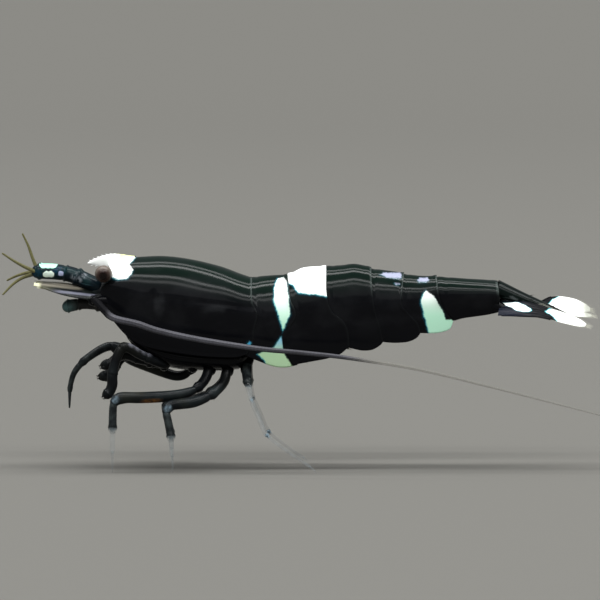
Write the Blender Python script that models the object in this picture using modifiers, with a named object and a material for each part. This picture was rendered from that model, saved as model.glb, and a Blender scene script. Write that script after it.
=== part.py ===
"""Aquarium bee shrimp (Caridina), a still, life-size model that stands on its walking legs.

Shapes are written in millimetres and placed in metres, +Z up. The head points to -X, the animal's
left side faces -Y and the soles are at Z = 0. Plates are described by their outline seen from the
side, X against Z, and a breadth; limbs by the line through their middle and its radii.
"""

import math

import bmesh
import bpy
from mathutils import Matrix, Vector

MM = 0.001
GAP = 0.12  # clearance between two pieces that meet
THIN = 0.5  # least thickness of a fin, leg or feeler

# The trunk seen from above: half its breadth at points along the body.
HALF_BREADTH = [
    (-11.9, 1.05), (-10.8, 1.45), (-9.2, 1.85), (-6.5, 2.06), (-4.2, 2.00), (-2.9, 1.84),
    (-1.0, 1.72), (1.0, 1.62), (3.5, 1.50), (5.4, 1.34), (7.2, 1.12), (9.5, 0.97), (10.8, 0.90),
]
# Height of the trunk's middle line, about which the tail rolls.
AXIS_HEIGHT = [(-12.0, 9.9), (-6.0, 9.1), (0.0, 9.0), (5.0, 9.2), (8.0, 9.6), (11.0, 9.7), (16.0, 8.4)]

TAIL_ROLL = math.radians(15)  # the tail fan's near side hangs lower than its far side
ROLL_FROM, ROLL_TO = 5.5, 12.0  # where along the body that turn builds up

PLATE_ROWS, DORSAL_STEPS, FLANK_STEPS = 7, 6, 4  # facets of a plate: along, and down each side
WIDEST = 0.50  # share of a plate's depth at which it is widest
TUCK = 0.10  # how far the lower edge of a plate turns in, as a share of its half breadth

# Plates from head to tail. Each has a dorsal outline, a lower outline and a hind margin that runs
# from the back down to the lower edge. The front margin of a plate is the hind margin before it.
CARAPACE_FRONT = [(-11.30, 11.55), (-11.10, 11.25), (-11.02, 10.90), (-11.26, 10.58), (-11.60, 10.36),
                  (-11.70, 9.85), (-11.62, 9.25), (-11.24, 8.78)]
PLATES = {
    "carapace": {
        "top": [(-11.30, 11.55), (-10.40, 11.86), (-9.20, 11.98), (-8.00, 12.00), (-6.60, 11.82),
                (-5.00, 11.44), (-3.85, 11.02), (-3.17, 10.79)],
        "low": [(-11.24, 8.78), (-10.40, 7.78), (-9.60, 7.15), (-8.30, 6.78), (-6.10, 6.46),
                (-4.20, 6.38), (-3.45, 6.56)],
        "hind": [(-3.17, 10.79), (-3.12, 9.50), (-2.84, 8.80), (-3.02, 7.90), (-3.11, 7.13), (-3.45, 6.56)],
    },
    "pleonite_1": {
        "top": [(-3.17, 10.76), (-2.15, 10.91), (-1.10, 10.96)],
        "low": [(-3.45, 6.56), (-2.70, 6.13), (-1.94, 5.86), (-1.30, 5.80), (-0.88, 5.92)],
        "hind": [(-1.10, 10.96), (-1.00, 9.70), (-0.95, 8.80), (-1.36, 7.95), (-1.42, 7.10), (-0.88, 5.92)],
    },
    "pleonite_2": {
        "top": [(-1.10, 10.90), (-0.80, 11.12), (-0.19, 11.36), (1.02, 11.44)],
        "low": [(-0.88, 5.92), (-0.40, 6.02), (0.05, 6.10), (1.15, 6.31), (1.79, 6.53), (2.34, 6.98)],
        "hind": [(1.02, 11.44), (1.05, 9.90), (1.36, 8.95), (1.90, 8.50), (2.25, 7.90), (2.34, 6.98)],
    },
    "pleonite_3": {
        "top": [(1.02, 11.30), (1.87, 11.49), (2.58, 11.57), (3.20, 11.47), (3.57, 11.34)],
        "low": [(2.34, 6.98), (2.55, 6.84), (3.06, 6.74), (3.61, 6.78), (4.05, 7.02), (4.24, 7.25)],
        "hind": [(3.57, 11.34), (3.61, 10.27), (3.78, 9.00), (4.07, 8.04), (4.24, 7.25)],
    },
    "pleonite_4": {
        "top": [(3.57, 11.24), (4.64, 11.17), (5.43, 11.04)],
        "low": [(4.24, 7.25), (4.60, 7.18), (5.12, 7.17), (5.67, 7.23), (6.11, 7.43), (6.34, 7.72)],
        "hind": [(5.43, 11.04), (5.31, 10.10), (5.27, 9.35), (5.67, 8.83), (6.20, 8.25), (6.34, 7.72)],
    },
    "pleonite_5": {
        "top": [(5.43, 10.94), (6.34, 10.89), (7.27, 10.89)],
        "low": [(6.34, 7.72), (6.85, 7.72), (7.45, 7.78), (8.00, 8.00), (8.20, 8.46)],
        "hind": [(7.27, 10.89), (7.40, 9.80), (7.70, 9.10), (8.20, 8.46)],
    },
    "pleonite_6": {
        "top": [(7.27, 10.79), (8.83, 10.74), (10.10, 10.66), (10.72, 10.56)],
        "low": [(8.20, 8.46), (8.83, 8.65), (10.10, 8.86), (10.72, 9.02)],
        "hind": [(10.72, 10.56), (10.80, 9.80), (10.72, 9.02)],
    },
}

CHANNEL_SHARE = 0.62  # breadth of the hollow between the side plates, as a share of the trunk's
CHANNEL_CEILING = [(-4.2, 7.50), (-2.0, 7.80), (1.0, 8.22), (4.0, 8.74), (6.0, 9.02), (9.0, 9.20)]
CHEST_LIFT = 0.62  # how far the hollow under the carapace rises above its lower edge
VAULT = 0.3  # rise of a hollow's rounded ceiling
CUTTER_FLOOR = 4.5  # a height below every plate, down to which the hollows are cut

ROSTRUM_UP = [(-12.45, 11.62), (-12.05, 11.84), (-11.49, 12.05), (-11.00, 12.12), (-10.36, 12.07), (-9.60, 11.97)]
ROSTRUM_LOW = [(-12.45, 11.56), (-12.00, 11.47), (-11.55, 11.38), (-11.10, 11.22), (-10.40, 11.30), (-9.80, 11.60)]
ROSTRUM_CREST = 0.12  # half the breadth of the rostrum's upper edge

THORAX_LOW = [(-10.40, 7.44), (-9.80, 6.90), (-9.22, 6.46), (-8.10, 5.86), (-7.40, 5.68), (-6.68, 5.60),
              (-4.98, 5.56), (-3.60, 5.72)]
THORAX_CORNER = 0.25  # how far the underside rises at its outer edges

# Head limbs of the left side: X, Y, Z of the middle line and the radius there.
ANTENNULE = [(-11.96, -0.52, 10.30, 0.36), (-12.25, -0.52, 10.47, 0.41), (-12.75, -0.52, 10.72, 0.42),
             (-13.35, -0.52, 10.94, 0.42), (-14.20, -0.52, 11.10, 0.41), (-15.00, -0.52, 11.14, 0.40),
             (-15.40, -0.52, 11.14, 0.34)]
ANTENNULE_FLAGELLA = {
    # The left pair hangs forward and down, the right pair stands up and forward.
    "antennule_flagellum_outer_left": [(-15.56, -0.82, 11.26, 0.23), (-16.05, -0.92, 11.52, 0.23),
                                       (-16.60, -1.00, 11.84, 0.23), (-17.12, -1.06, 12.20, 0.23)],
    "antennule_flagellum_inner_left": [(-15.56, -0.36, 11.00, 0.23), (-16.10, -0.42, 10.74, 0.23),
                                       (-16.65, -0.50, 10.34, 0.23), (-17.15, -0.58, 9.84, 0.23)],
    "antennule_flagellum_outer_right": [(-15.56, 0.82, 11.10, 0.23), (-16.05, 0.98, 11.00, 0.23),
                                        (-16.60, 1.12, 10.76, 0.23), (-17.05, 1.20, 10.46, 0.23)],
    "antennule_flagellum_inner_right": [(-15.56, 0.36, 11.36, 0.23), (-15.68, 0.46, 11.95, 0.23),
                                        (-15.88, 0.58, 12.58, 0.23), (-16.14, 0.68, 13.18, 0.23)],
}
EYE_CENTRE, EYE_RADIUS, STALK_LENGTH, STALK_RADIUS = (-11.50, -1.42, 11.07), 0.49, 0.85, 0.26
SCALE_BASE, SCALE_TIP = (-12.34, -1.02, 9.86), (-15.44, -1.00, 10.42)
ANTENNA_BASE = [(-11.84, -1.06, 9.52, 0.34), (-12.02, -1.12, 9.53, 0.36), (-12.22, -1.16, 9.54, 0.28)]
MAXILLIPED = [(-11.66, -0.48, 9.10, 0.25), (-12.10, -0.48, 9.20, 0.27), (-12.60, -0.50, 9.26, 0.27),
              (-13.10, -0.50, 9.23, 0.30), (-13.50, -0.50, 9.18, 0.32), (-13.78, -0.50, 9.12, 0.22)]

# The long feelers. The left one passes the body in front and runs on behind the tail, the right one
# lies close along the far flank. Each is made in two lengths.
FEELER_RADIUS = 0.25
FEELERS = {
    "left": [(-12.06, -1.66, 9.58), (-11.88, -1.94, 9.48), (-11.60, -2.18, 9.24), (-11.36, -2.36, 9.02),
             (-11.10, -2.50, 8.80), (-10.64, -2.70, 8.60), (-9.51, -2.96, 8.36), (-8.38, -3.15, 7.98),
             (-6.11, -3.55, 7.52), (-2.77, -4.15, 7.05), (-0.30, -4.50, 6.84), (2.21, -4.80, 6.58),
             (6.00, -5.10, 5.98), (9.73, -5.32, 5.10), (13.47, -5.45, 4.15), (17.25, -5.50, 3.17)],
    "right": [(-12.06, 1.66, 9.58), (-11.88, 1.94, 9.50), (-11.60, 2.18, 9.34), (-11.10, 2.50, 8.98),
              (-8.94, 3.05, 8.50), (-6.11, 3.60, 8.20), (-2.77, 4.15, 8.10), (2.21, 4.80, 8.35),
              (6.00, 5.15, 8.70), (9.73, 5.40, 8.95), (13.20, 5.50, 8.75)],
}
FEELER_SPLIT_X = 1.0

# Legs, from the hip down: X, Y, Z, radius. Where a leg has two lengths, the number says after which
# point it is parted, halfway to the next one.
LEGS = {
    "cheliped_1_left": (None, [
        (-8.80, -0.62, 5.90, 0.24), (-9.50, -0.92, 6.12, 0.26), (-10.20, -1.12, 6.44, 0.27),
        (-10.70, -1.20, 6.36, 0.27), (-11.04, -1.24, 6.10, 0.30), (-11.28, -1.26, 5.96, 0.28),
        (-11.56, -1.27, 5.86, 0.16)]),
    "cheliped_1_right": (None, [
        (-8.80, 0.62, 5.90, 0.24), (-9.50, 0.95, 6.12, 0.26), (-10.20, 1.08, 6.44, 0.27), (-10.62, 1.14, 6.38, 0.27),
        (-10.92, 1.18, 6.08, 0.30), (-11.16, 1.20, 5.82, 0.28), (-11.42, 1.21, 5.60, 0.16)]),
    "cheliped_2_left": (5, [
        (-7.95, -0.80, 5.44, 0.27), (-8.40, -1.18, 5.72, 0.28), (-8.85, -1.40, 6.04, 0.28),
        (-9.50, -1.62, 6.46, 0.27), (-10.05, -1.80, 6.82, 0.27), (-10.38, -1.88, 6.92, 0.27),
        (-10.64, -1.93, 6.62, 0.27), (-10.88, -1.97, 5.98, 0.27), (-11.00, -2.00, 5.34, 0.28),
        (-11.00, -2.00, 4.86, 0.29), (-11.14, -2.02, 4.50, 0.30), (-11.34, -2.04, 4.26, 0.28),
        (-11.52, -2.05, 4.04, 0.16)]),
    "cheliped_2_right": (3, [
        (-7.95, 0.80, 5.44, 0.27), (-8.60, 1.26, 5.62, 0.28), (-9.45, 1.60, 5.94, 0.28), (-10.15, 1.71, 6.18, 0.28),
        (-10.60, 1.73, 6.10, 0.27), (-10.90, 1.69, 5.76, 0.27), (-11.10, 1.62, 5.40, 0.28),
        (-11.34, 1.56, 5.18, 0.30), (-11.62, 1.50, 5.06, 0.29), (-11.88, 1.46, 5.02, 0.16)]),
    "leg_3_left": (7, [
        (-5.56, -0.80, 5.42, 0.28), (-5.62, -0.93, 5.24, 0.29), (-5.83, -1.30, 4.97, 0.30),
        (-6.28, -1.70, 4.62, 0.31), (-6.90, -2.05, 4.38, 0.32), (-7.93, -2.40, 4.24, 0.33),
        (-9.30, -2.78, 4.20, 0.33), (-10.40, -3.02, 4.20, 0.28), (-10.84, -3.08, 3.96, 0.26),
        (-10.92, -3.15, 3.35, 0.25), (-10.93, -3.32, 2.38, 0.25), (-10.94, -3.48, 1.20, 0.25),
        (-10.94, -3.55, 0.40, 0.25), (-10.94, -3.55, 0.00, 0.25)]),
    "leg_3_right": (8, [
        (-6.12, 0.80, 5.42, 0.28), (-6.45, 1.20, 5.30, 0.28), (-6.80, 1.50, 5.22, 0.28), (-7.10, 1.68, 5.13, 0.27),
        (-7.50, 1.80, 5.06, 0.27), (-7.98, 1.92, 5.17, 0.28), (-9.03, 2.16, 5.54, 0.30), (-10.10, 2.40, 5.96, 0.30),
        (-10.62, 2.44, 6.36, 0.29), (-11.14, 2.47, 6.70, 0.27), (-11.70, 2.50, 6.60, 0.27),
        (-12.52, 2.52, 6.10, 0.26), (-13.00, 2.52, 5.68, 0.25), (-13.38, 2.52, 5.18, 0.25),
        (-13.56, 2.50, 4.62, 0.25), (-13.63, 2.49, 4.12, 0.25), (-13.65, 2.46, 3.20, 0.25)]),
    "leg_4_left": (7, [
        (-4.60, -0.80, 5.40, 0.28), (-4.62, -0.93, 5.22, 0.29), (-4.72, -1.25, 4.95, 0.29),
        (-5.04, -1.65, 4.60, 0.30), (-5.52, -2.05, 4.25, 0.30), (-6.34, -2.45, 3.93, 0.32),
        (-7.15, -2.75, 3.84, 0.30), (-7.69, -2.93, 3.76, 0.27), (-7.94, -3.00, 3.46, 0.26),
        (-7.83, -3.12, 2.88, 0.25), (-7.68, -3.32, 2.00, 0.25), (-7.60, -3.50, 1.00, 0.25),
        (-7.56, -3.57, 0.40, 0.25), (-7.56, -3.57, 0.00, 0.25)]),
    "leg_4_right": (7, [
        (-4.60, 0.80, 5.40, 0.28), (-4.64, 0.93, 5.20, 0.29), (-4.78, 1.25, 4.86, 0.29), (-5.12, 1.65, 4.44, 0.30),
        (-5.68, 2.05, 4.02, 0.30), (-6.58, 2.45, 3.62, 0.32), (-7.45, 2.75, 3.50, 0.30), (-7.94, 2.93, 3.40, 0.27),
        (-8.15, 3.00, 3.08, 0.26), (-8.06, 3.12, 2.52, 0.25), (-7.90, 3.32, 1.66, 0.25), (-7.84, 3.46, 0.80, 0.25),
        (-7.80, 3.52, 0.40, 0.25), (-7.80, 3.52, 0.00, 0.25)]),
    "leg_5_left": (3, [
        (-3.68, -0.80, 5.50, 0.27), (-3.62, -0.96, 5.30, 0.28), (-3.43, -1.50, 4.86, 0.28),
        (-3.26, -2.00, 4.36, 0.27), (-3.17, -2.30, 3.99, 0.25), (-2.74, -2.64, 3.05, 0.25),
        (-2.29, -3.00, 2.10, 0.25), (-1.05, -3.32, 1.15, 0.25), (0.12, -3.50, 0.48, 0.25), (0.45, -3.56, 0.28, 0.25),
        (0.45, -3.56, 0.00, 0.25)]),
    "leg_5_right": (3, [
        (-3.68, 0.80, 5.50, 0.27), (-3.60, 0.96, 5.28, 0.28), (-3.40, 1.50, 4.72, 0.28), (-3.22, 2.00, 4.12, 0.27),
        (-3.12, 2.30, 3.71, 0.25), (-2.70, 2.64, 2.73, 0.25), (-2.25, 3.00, 1.76, 0.25), (-1.15, 3.32, 0.86, 0.25),
        (-0.25, 3.48, 0.44, 0.25), (-0.05, 3.50, 0.28, 0.25), (-0.05, 3.50, 0.00, 0.25)]),
}
LIMB_SIDES = 8

# Swimming legs: where each pair hangs from the belly and how far down and back it reaches.
SWIMMERET_ROOTS = [-1.95, 0.35, 2.60, 4.55, 6.35]  # along the body
SWIMMERET_DROP = 0.62  # from the belly's hollow to the middle of a swimming leg's root
SWIMMERET_LENGTHS = [2.1, 2.1, 1.9, 1.7, 1.45]
SWIMMERET_PITCHES = [34, 22, 14, 14, 12]  # degrees below the horizontal, tucked back against the belly
SWIMMERET_BREADTHS = [0.84, 0.76, 0.68, 0.56, 0.44]
SWIMMERET_INNER = 0.08  # from the middle plane to a swimming leg's inner edge
SWIMMERET_SHAPE = [(0.0, 0.70), (0.3, 0.95), (0.6, 1.0), (0.85, 0.80), (1.0, 0.40)]

TELSON_ROOT = (10.86, 0.0, 10.12)
TELSON_PITCH = math.radians(-22)
TELSON_STATIONS = [(0.0, 0.62, 0.34), (0.7, 0.58, 0.30), (2.2, 0.40, 0.26), (3.4, 0.30, 0.25), (3.86, 0.22, 0.25)]
FAN_PITCH = math.radians(-11)
EXOPOD = {"root": (10.95, 1.24, 9.34), "length": 5.25, "breadth": 1.04, "splay": math.radians(13)}
ENDOPOD = {"root": (10.92, 0.58, 9.22), "length": 4.70, "breadth": 0.84, "splay": math.radians(5)}
# Breadth of those blades from root to tip, as shares of their length and of their breadth.
BLADE_SHAPE = [(0.0, 0.52), (0.15, 0.60), (0.35, 0.86), (0.55, 1.0), (0.75, 0.98), (0.9, 0.74), (1.0, 0.38)]
EDGE_ROUNDING = 0.45  # 1 gives a blade an oval section, smaller numbers a squarer one

BLACK_SHELL = ((0.010, 0.016, 0.016), 0.22)
BLACK_LIMB = ((0.020, 0.030, 0.030), 0.30)
CLEAR_LIMB = ((0.42, 0.46, 0.47), 0.30)
OLIVE_FEELER = ((0.38, 0.36, 0.22), 0.40)
LILAC_FEELER = ((0.36, 0.35, 0.38), 0.40)
WHITE_FIN = ((0.86, 0.90, 0.86), 0.35)
EYE_BROWN = ((0.16, 0.10, 0.08), 0.12)


def between(points, at):
    """Value at a place along a table of (place, value) pairs, on straight lines between them."""
    for (x0, v0), (x1, v1) in zip(points, points[1:]):
        if at <= x1:
            return v0 + (v1 - v0) * max(0.0, (at - x0) / (x1 - x0))
    return points[-1][1]


def smooth_path(points, steps):
    """Evenly spaced points on a Catmull-Rom curve through the given ones, ends included."""
    knots = [Vector(p) for p in points]
    knots = [2 * knots[0] - knots[1], *knots, 2 * knots[-1] - knots[-2]]
    dense = []
    for a, b, c, d in zip(knots, knots[1:], knots[2:], knots[3:]):
        for i in range(16):
            t = i / 16
            dense.append(
                0.5 * ((2 * b) + (c - a) * t + (2 * a - 5 * b + 4 * c - d) * t**2 + (3 * b - a - 3 * c + d) * t**3)
            )
    dense.append(knots[-2])
    run = [0.0]
    for a, b in zip(dense, dense[1:]):
        run.append(run[-1] + (b - a).length)
    spaced, j = [], 0
    for i in range(steps + 1):
        goal = run[-1] * i / steps
        while j < len(run) - 2 and run[j + 1] < goal:
            j += 1
        share = (goal - run[j]) / max(run[j + 1] - run[j], 1e-9)
        spaced.append(dense[j].lerp(dense[j + 1], min(1.0, share)))
    return spaced


def rolled(point):
    """The point after the tail's gentle turn about the body's middle line."""
    share = min(1.0, max(0.0, (point.x - ROLL_FROM) / (ROLL_TO - ROLL_FROM)))
    angle = TAIL_ROLL * share * share * (3 - 2 * share)
    height = between(AXIS_HEIGHT, point.x)
    up = point.z - height
    y = point.y * math.cos(angle) - up * math.sin(angle)
    z = point.y * math.sin(angle) + up * math.cos(angle)
    return Vector((point.x, y, height + z))


def finish(name, material, obj):
    """Names a piece, gives it its colour and puts it in the shrimp's collection."""
    colour, roughness = material
    key = "_".join(f"{c:.3f}" for c in colour)
    look = bpy.data.materials.get(key)
    if look is None:
        look = bpy.data.materials.new(key)
        look.use_nodes = True
        shader = look.node_tree.nodes["Principled BSDF"]
        shader.inputs["Base Color"].default_value = (*colour, 1.0)
        shader.inputs["Roughness"].default_value = roughness
        shader.inputs["Metallic"].default_value = 0.0
    obj.name = name
    obj.data.name = name
    obj.data.materials.append(look)
    PARTS.objects.link(obj)
    return obj


def mesh_object(name, bm, material, sharp=50):
    """An object from a bmesh in millimetres, with its faces turned outwards and shaded smooth."""
    bmesh.ops.recalc_face_normals(bm, faces=bm.faces)
    bmesh.ops.transform(bm, matrix=Matrix.Scale(MM, 4), verts=bm.verts)
    mesh = bpy.data.meshes.new(name)
    bm.to_mesh(mesh)
    bm.free()
    mesh.shade_smooth()
    mesh.set_sharp_from_angle(angle=math.radians(sharp))
    return finish(name, material, bpy.data.objects.new(name, mesh))


def loft(rings):
    """A closed body through a row of rings with equal numbers of points. Each end is a fan of faces."""
    bm = bmesh.new()
    rows = [[bm.verts.new(p) for p in ring] for ring in rings]
    for row, following in zip(rows, rows[1:]):
        for i in range(len(row)):
            j = (i + 1) % len(row)
            bm.faces.new((row[i], row[j], following[j], following[i]))
    for row in (rows[0], rows[-1]):
        hub = bm.verts.new(sum((v.co for v in row), Vector()) / len(row))
        for i in range(len(row)):
            bm.faces.new((row[i], row[(i + 1) % len(row)], hub))
    return bm


def section():
    """Half of a plate's cross-section, from the back down: (share of half breadth, share of depth)."""
    points = []
    for i in range(DORSAL_STEPS + 1):
        angle = math.pi / 2 * i / DORSAL_STEPS
        points.append((math.sin(angle), WIDEST * (1 - math.cos(angle))))
    for i in range(1, FLANK_STEPS + 1):
        share = i / FLANK_STEPS
        points.append((1 - TUCK * share**2, WIDEST + (1 - WIDEST) * share))
    return points


def plate_rings(front, hind, top, low):
    """Rings of a plate whose four edges are given from the side: a Coons patch, given its breadth."""
    top = [front[0], *top[1:-1], hind[0]]
    low = [front[-1], *low[1:-1], hind[-1]]
    top_line = smooth_path([(x, 0, z) for x, z in top], PLATE_ROWS)
    low_line = smooth_path([(x, 0, z) for x, z in low], PLATE_ROWS)
    shares = section()
    front_line = smooth_path([(x, 0, z) for x, z in front], 60)
    hind_line = smooth_path([(x, 0, z) for x, z in hind], 60)
    rings = []
    for row in range(PLATE_ROWS + 1):
        t = row / PLATE_ROWS
        side = []
        for across, down in shares:
            at = round(down * 60)
            ruled = front_line[at].lerp(hind_line[at], t) + top_line[row].lerp(low_line[row], down)
            corners = front_line[0].lerp(hind_line[0], t).lerp(front_line[60].lerp(hind_line[60], t), down)
            point = ruled - corners
            side.append(Vector((point.x, -across * between(HALF_BREADTH, point.x), point.z)))
        mirrored = [Vector((p.x, -p.y, p.z)) for p in side[1:]]
        rings.append([rolled(p) for p in side[::-1] + mirrored])
    return rings


def shifted(outline, along):
    return [(x + along, z) for x, z in outline]


def hollow(name, ceiling):
    """Cutter for a hollow under the trunk: a long block with a rounded ceiling, open below."""
    rings = []
    for x, top in ceiling:
        half, ring = between(HALF_BREADTH, x) * CHANNEL_SHARE, []
        for i in range(9):
            angle = math.pi * i / 8
            ring.append(Vector((x, half * math.cos(angle), top - VAULT + VAULT * math.sin(angle))))
        ring += [Vector((x, -half, CUTTER_FLOOR)), Vector((x, half, CUTTER_FLOOR))]
        rings.append(ring)
    return as_cutter(mesh_object(name, loft(rings), CLEAR_LIMB))


def as_cutter(obj):
    obj.hide_render = True
    obj.display_type = "WIRE"
    PARTS.objects.unlink(obj)
    CUTTERS.objects.link(obj)
    return obj


def cut(obj, cutter, operation="DIFFERENCE"):
    modifier = obj.modifiers.new(cutter.name, "BOOLEAN")
    modifier.operation = operation
    modifier.object = cutter


def trunk():
    """The carapace with its rostrum, and the six plates of the tail."""
    belly = hollow("belly_hollow", CHANNEL_CEILING)
    chest = hollow("chest_hollow", [(x, z + CHEST_LIFT) for x, z in [*PLATES["carapace"]["low"][1:], (-2.6, 6.56)]])
    names = list(PLATES)
    front = CARAPACE_FRONT
    for name in names:
        plate = PLATES[name]
        rings = plate_rings(front, plate["hind"], plate["top"], plate["low"])
        obj = mesh_object(name, loft(rings), BLACK_SHELL)
        if name != "pleonite_6":
            cut(obj, chest if name == "carapace" else belly)
        front = shifted(plate["hind"], GAP)
    # The rostrum is a thin upright blade that grows out of the carapace.
    upper = smooth_path([(x, 0, z) for x, z in ROSTRUM_UP], 8)
    lower = smooth_path([(x, 0, z) for x, z in ROSTRUM_LOW], 8)
    rings = []
    for a, b in zip(upper, lower):
        half = THIN / 2
        ring = []
        crest = ROSTRUM_CREST
        for y, share in ((half, 0.0), (half, 0.7), (crest, 1.0), (-crest, 1.0), (-half, 0.7), (-half, 0.0)):
            point = b.lerp(a, share)
            ring.append(Vector((point.x, y, point.z)))
        rings.append(ring)
    cut(PARTS.objects["carapace"], as_cutter(mesh_object("rostrum_blade", loft(rings), BLACK_SHELL)), "UNION")


def thorax():
    """The underside of the thorax, which carries the legs and fills the hollow under the carapace."""
    rings = []
    for p in smooth_path([(x, 0, z) for x, z in THORAX_LOW], 9):
        half = between(HALF_BREADTH, p.x) * CHANNEL_SHARE - GAP
        top = between(PLATES["carapace"]["low"], p.x) + CHEST_LIFT - VAULT - GAP
        ring = []
        for i in range(9):
            angle = math.pi * i / 8
            ring.append(Vector((p.x, half * math.cos(angle), top + VAULT * math.sin(angle))))
        for share, lift in ((-1.0, THORAX_CORNER), (-0.8, 0.0), (0.8, 0.0), (1.0, THORAX_CORNER)):
            ring.append(Vector((p.x, half * share, p.z + lift)))
        rings.append(ring)
    mesh_object("thorax", loft(rings), BLACK_LIMB)


def limb(name, points, material, sides=LIMB_SIDES):
    """A limb or feeler: a curve with a round section whose radius changes from point to point."""
    curve = bpy.data.curves.new(name, "CURVE")
    curve.dimensions = "3D"
    curve.bevel_depth = MM
    curve.bevel_resolution = sides // 2 - 2
    curve.use_fill_caps = True
    curve.twist_mode = "MINIMUM"
    spline = curve.splines.new("POLY")
    spline.points.add(len(points) - 1)
    for target, (x, y, z, radius) in zip(spline.points, points):
        target.co = (x * MM, y * MM, z * MM, 1.0)
        target.radius = radius
    return finish(name, material, bpy.data.objects.new(name, curve))


def mirrored(points):
    return [(x, -y, *rest) for x, y, *rest in points]


def eye(name, side):
    """A stalked eye, turned on its own axis and swung out to the side."""
    profile = [(0.0, EYE_RADIUS)]
    lowest = math.pi - math.asin(STALK_RADIUS / EYE_RADIUS)
    for i in range(1, 8):
        angle = lowest * i / 7
        profile.append((EYE_RADIUS * math.sin(angle), EYE_RADIUS * math.cos(angle)))
    profile += [(STALK_RADIUS, -STALK_LENGTH), (0.0, -STALK_LENGTH)]
    mesh = bpy.data.meshes.new(name)
    corners = [(x * MM, 0.0, z * MM) for x, z in profile]
    mesh.from_pydata(corners, [(i, i + 1) for i in range(len(corners) - 1)], [])
    obj = finish(name, EYE_BROWN, bpy.data.objects.new(name, mesh))
    turn = obj.modifiers.new("turn", "SCREW")
    turn.steps = turn.render_steps = 14
    turn.use_merge_vertices = True
    turn.merge_threshold = 1e-6
    x, y, z = EYE_CENTRE
    obj.location = Vector((x, -side * y, z)) * MM
    obj.rotation_euler = (math.radians(-90) * side, 0, 0)
    return obj


def blade(name, stations, place, material):
    """A flat, round-edged body from (distance along, half breadth, half thickness) rows."""
    rings = []
    for along, half, thick in stations:
        ring = []
        for i in range(10):
            angle = math.tau * (i + 0.5) / 10
            y = half * math.cos(angle)
            z = thick * math.copysign(abs(math.sin(angle)) ** EDGE_ROUNDING, math.sin(angle))
            ring.append(place(Vector((along, y, z))))
        rings.append(ring)
    return mesh_object(name, loft(rings), material)


def leaf(length, breadth, shape):
    """Rows of a leaf shape: distance along, half breadth, half thickness."""
    return [(length * at, breadth / 2 * wide, THIN / 2) for at, wide in shape]


def antennal_scale(name, side):
    """The flat blade beside each antenna, straight outside, with its root lower than its tip."""
    root, tip = Vector(SCALE_BASE), Vector(SCALE_TIP)
    along = tip - root
    pitch = math.atan2(along.z, -along.x)
    # Rows from root to tip: distance, half breadth, half thickness.
    stations = [(0.0, 0.30, 0.24), (0.35, 0.44, 0.25), (1.1, 0.52, 0.25), (1.9, 0.50, 0.25), (2.6, 0.42, 0.25),
                (3.0, 0.28, 0.25), (3.15, 0.20, 0.25)]

    def place(p):
        x = root.x - p.x * math.cos(pitch) + p.z * math.sin(pitch)
        z = root.z + p.x * math.sin(pitch) + p.z * math.cos(pitch)
        return Vector((x, side * (p.y - root.y), z))

    blade(name, stations, place, BLACK_SHELL)


def head():
    for side, word in ((-1, "left"), (1, "right")):
        turn = (lambda points: points) if side < 0 else mirrored
        eye(f"eye_{word}", side)
        limb(f"antennule_{word}", turn(ANTENNULE), BLACK_SHELL, 10)
        limb(f"antenna_base_{word}", turn(ANTENNA_BASE), BLACK_LIMB)
        limb(f"maxilliped_{word}", turn(MAXILLIPED), BLACK_LIMB)
        antennal_scale(f"antennal_scale_{word}", side)
    for name, points in ANTENNULE_FLAGELLA.items():
        limb(name, points, OLIVE_FEELER, 6)


def feelers():
    """Each long feeler in two lengths, read from one smooth line."""
    for word, points in FEELERS.items():
        line = smooth_path(points, 34)
        split = next(i for i, p in enumerate(line) if p.x > FEELER_SPLIT_X)
        for end, stretch in (("base", line[:split]), ("tip", line[split - 1:])):
            stretch = list(stretch)
            if end == "tip":
                stretch[0] = stretch[0] + (stretch[1] - stretch[0]).normalized() * GAP
            rows = [(*p, FEELER_RADIUS) for p in stretch]
            limb(f"antenna_{word}_{end}", rows, LILAC_FEELER, 6)


def legs():
    for name, (parting, points) in LEGS.items():
        if parting is None:
            limb(name, points, BLACK_LIMB)
            continue
        before, after = points[parting], points[parting + 1]
        run = math.dist(before[:3], after[:3])
        stop, start = ((0.5 * run + shift) / run for shift in (-GAP / 2, GAP / 2))
        stop, start = (tuple(a + (b - a) * share for a, b in zip(before, after)) for share in (stop, start))
        limb(f"{name}_upper", [*points[:parting + 1], stop], BLACK_LIMB)
        limb(f"{name}_lower", [start, *points[parting + 1:]], CLEAR_LIMB if "leg" in name else BLACK_LIMB)


def swimmerets():
    """Five pairs of swimming legs, tucked back under the tail between its side plates."""
    sizes = zip(SWIMMERET_ROOTS, SWIMMERET_LENGTHS, SWIMMERET_PITCHES, SWIMMERET_BREADTHS)
    for number, (x, length, pitch, breadth) in enumerate(sizes, 1):
        z, turn = between(CHANNEL_CEILING, x) - SWIMMERET_DROP, math.radians(pitch)
        for side, word in ((-1, "left"), (1, "right")):
            middle = side * (breadth / 2 + SWIMMERET_INNER)

            def place(p):
                back = p.x * math.cos(turn) + p.z * math.sin(turn)
                down = p.x * math.sin(turn) - p.z * math.cos(turn)
                return rolled(Vector((x + back, middle + p.y, z - down)))

            blade(f"swimmeret_{number}_{word}", leaf(length, breadth, SWIMMERET_SHAPE), place, BLACK_LIMB)


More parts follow.
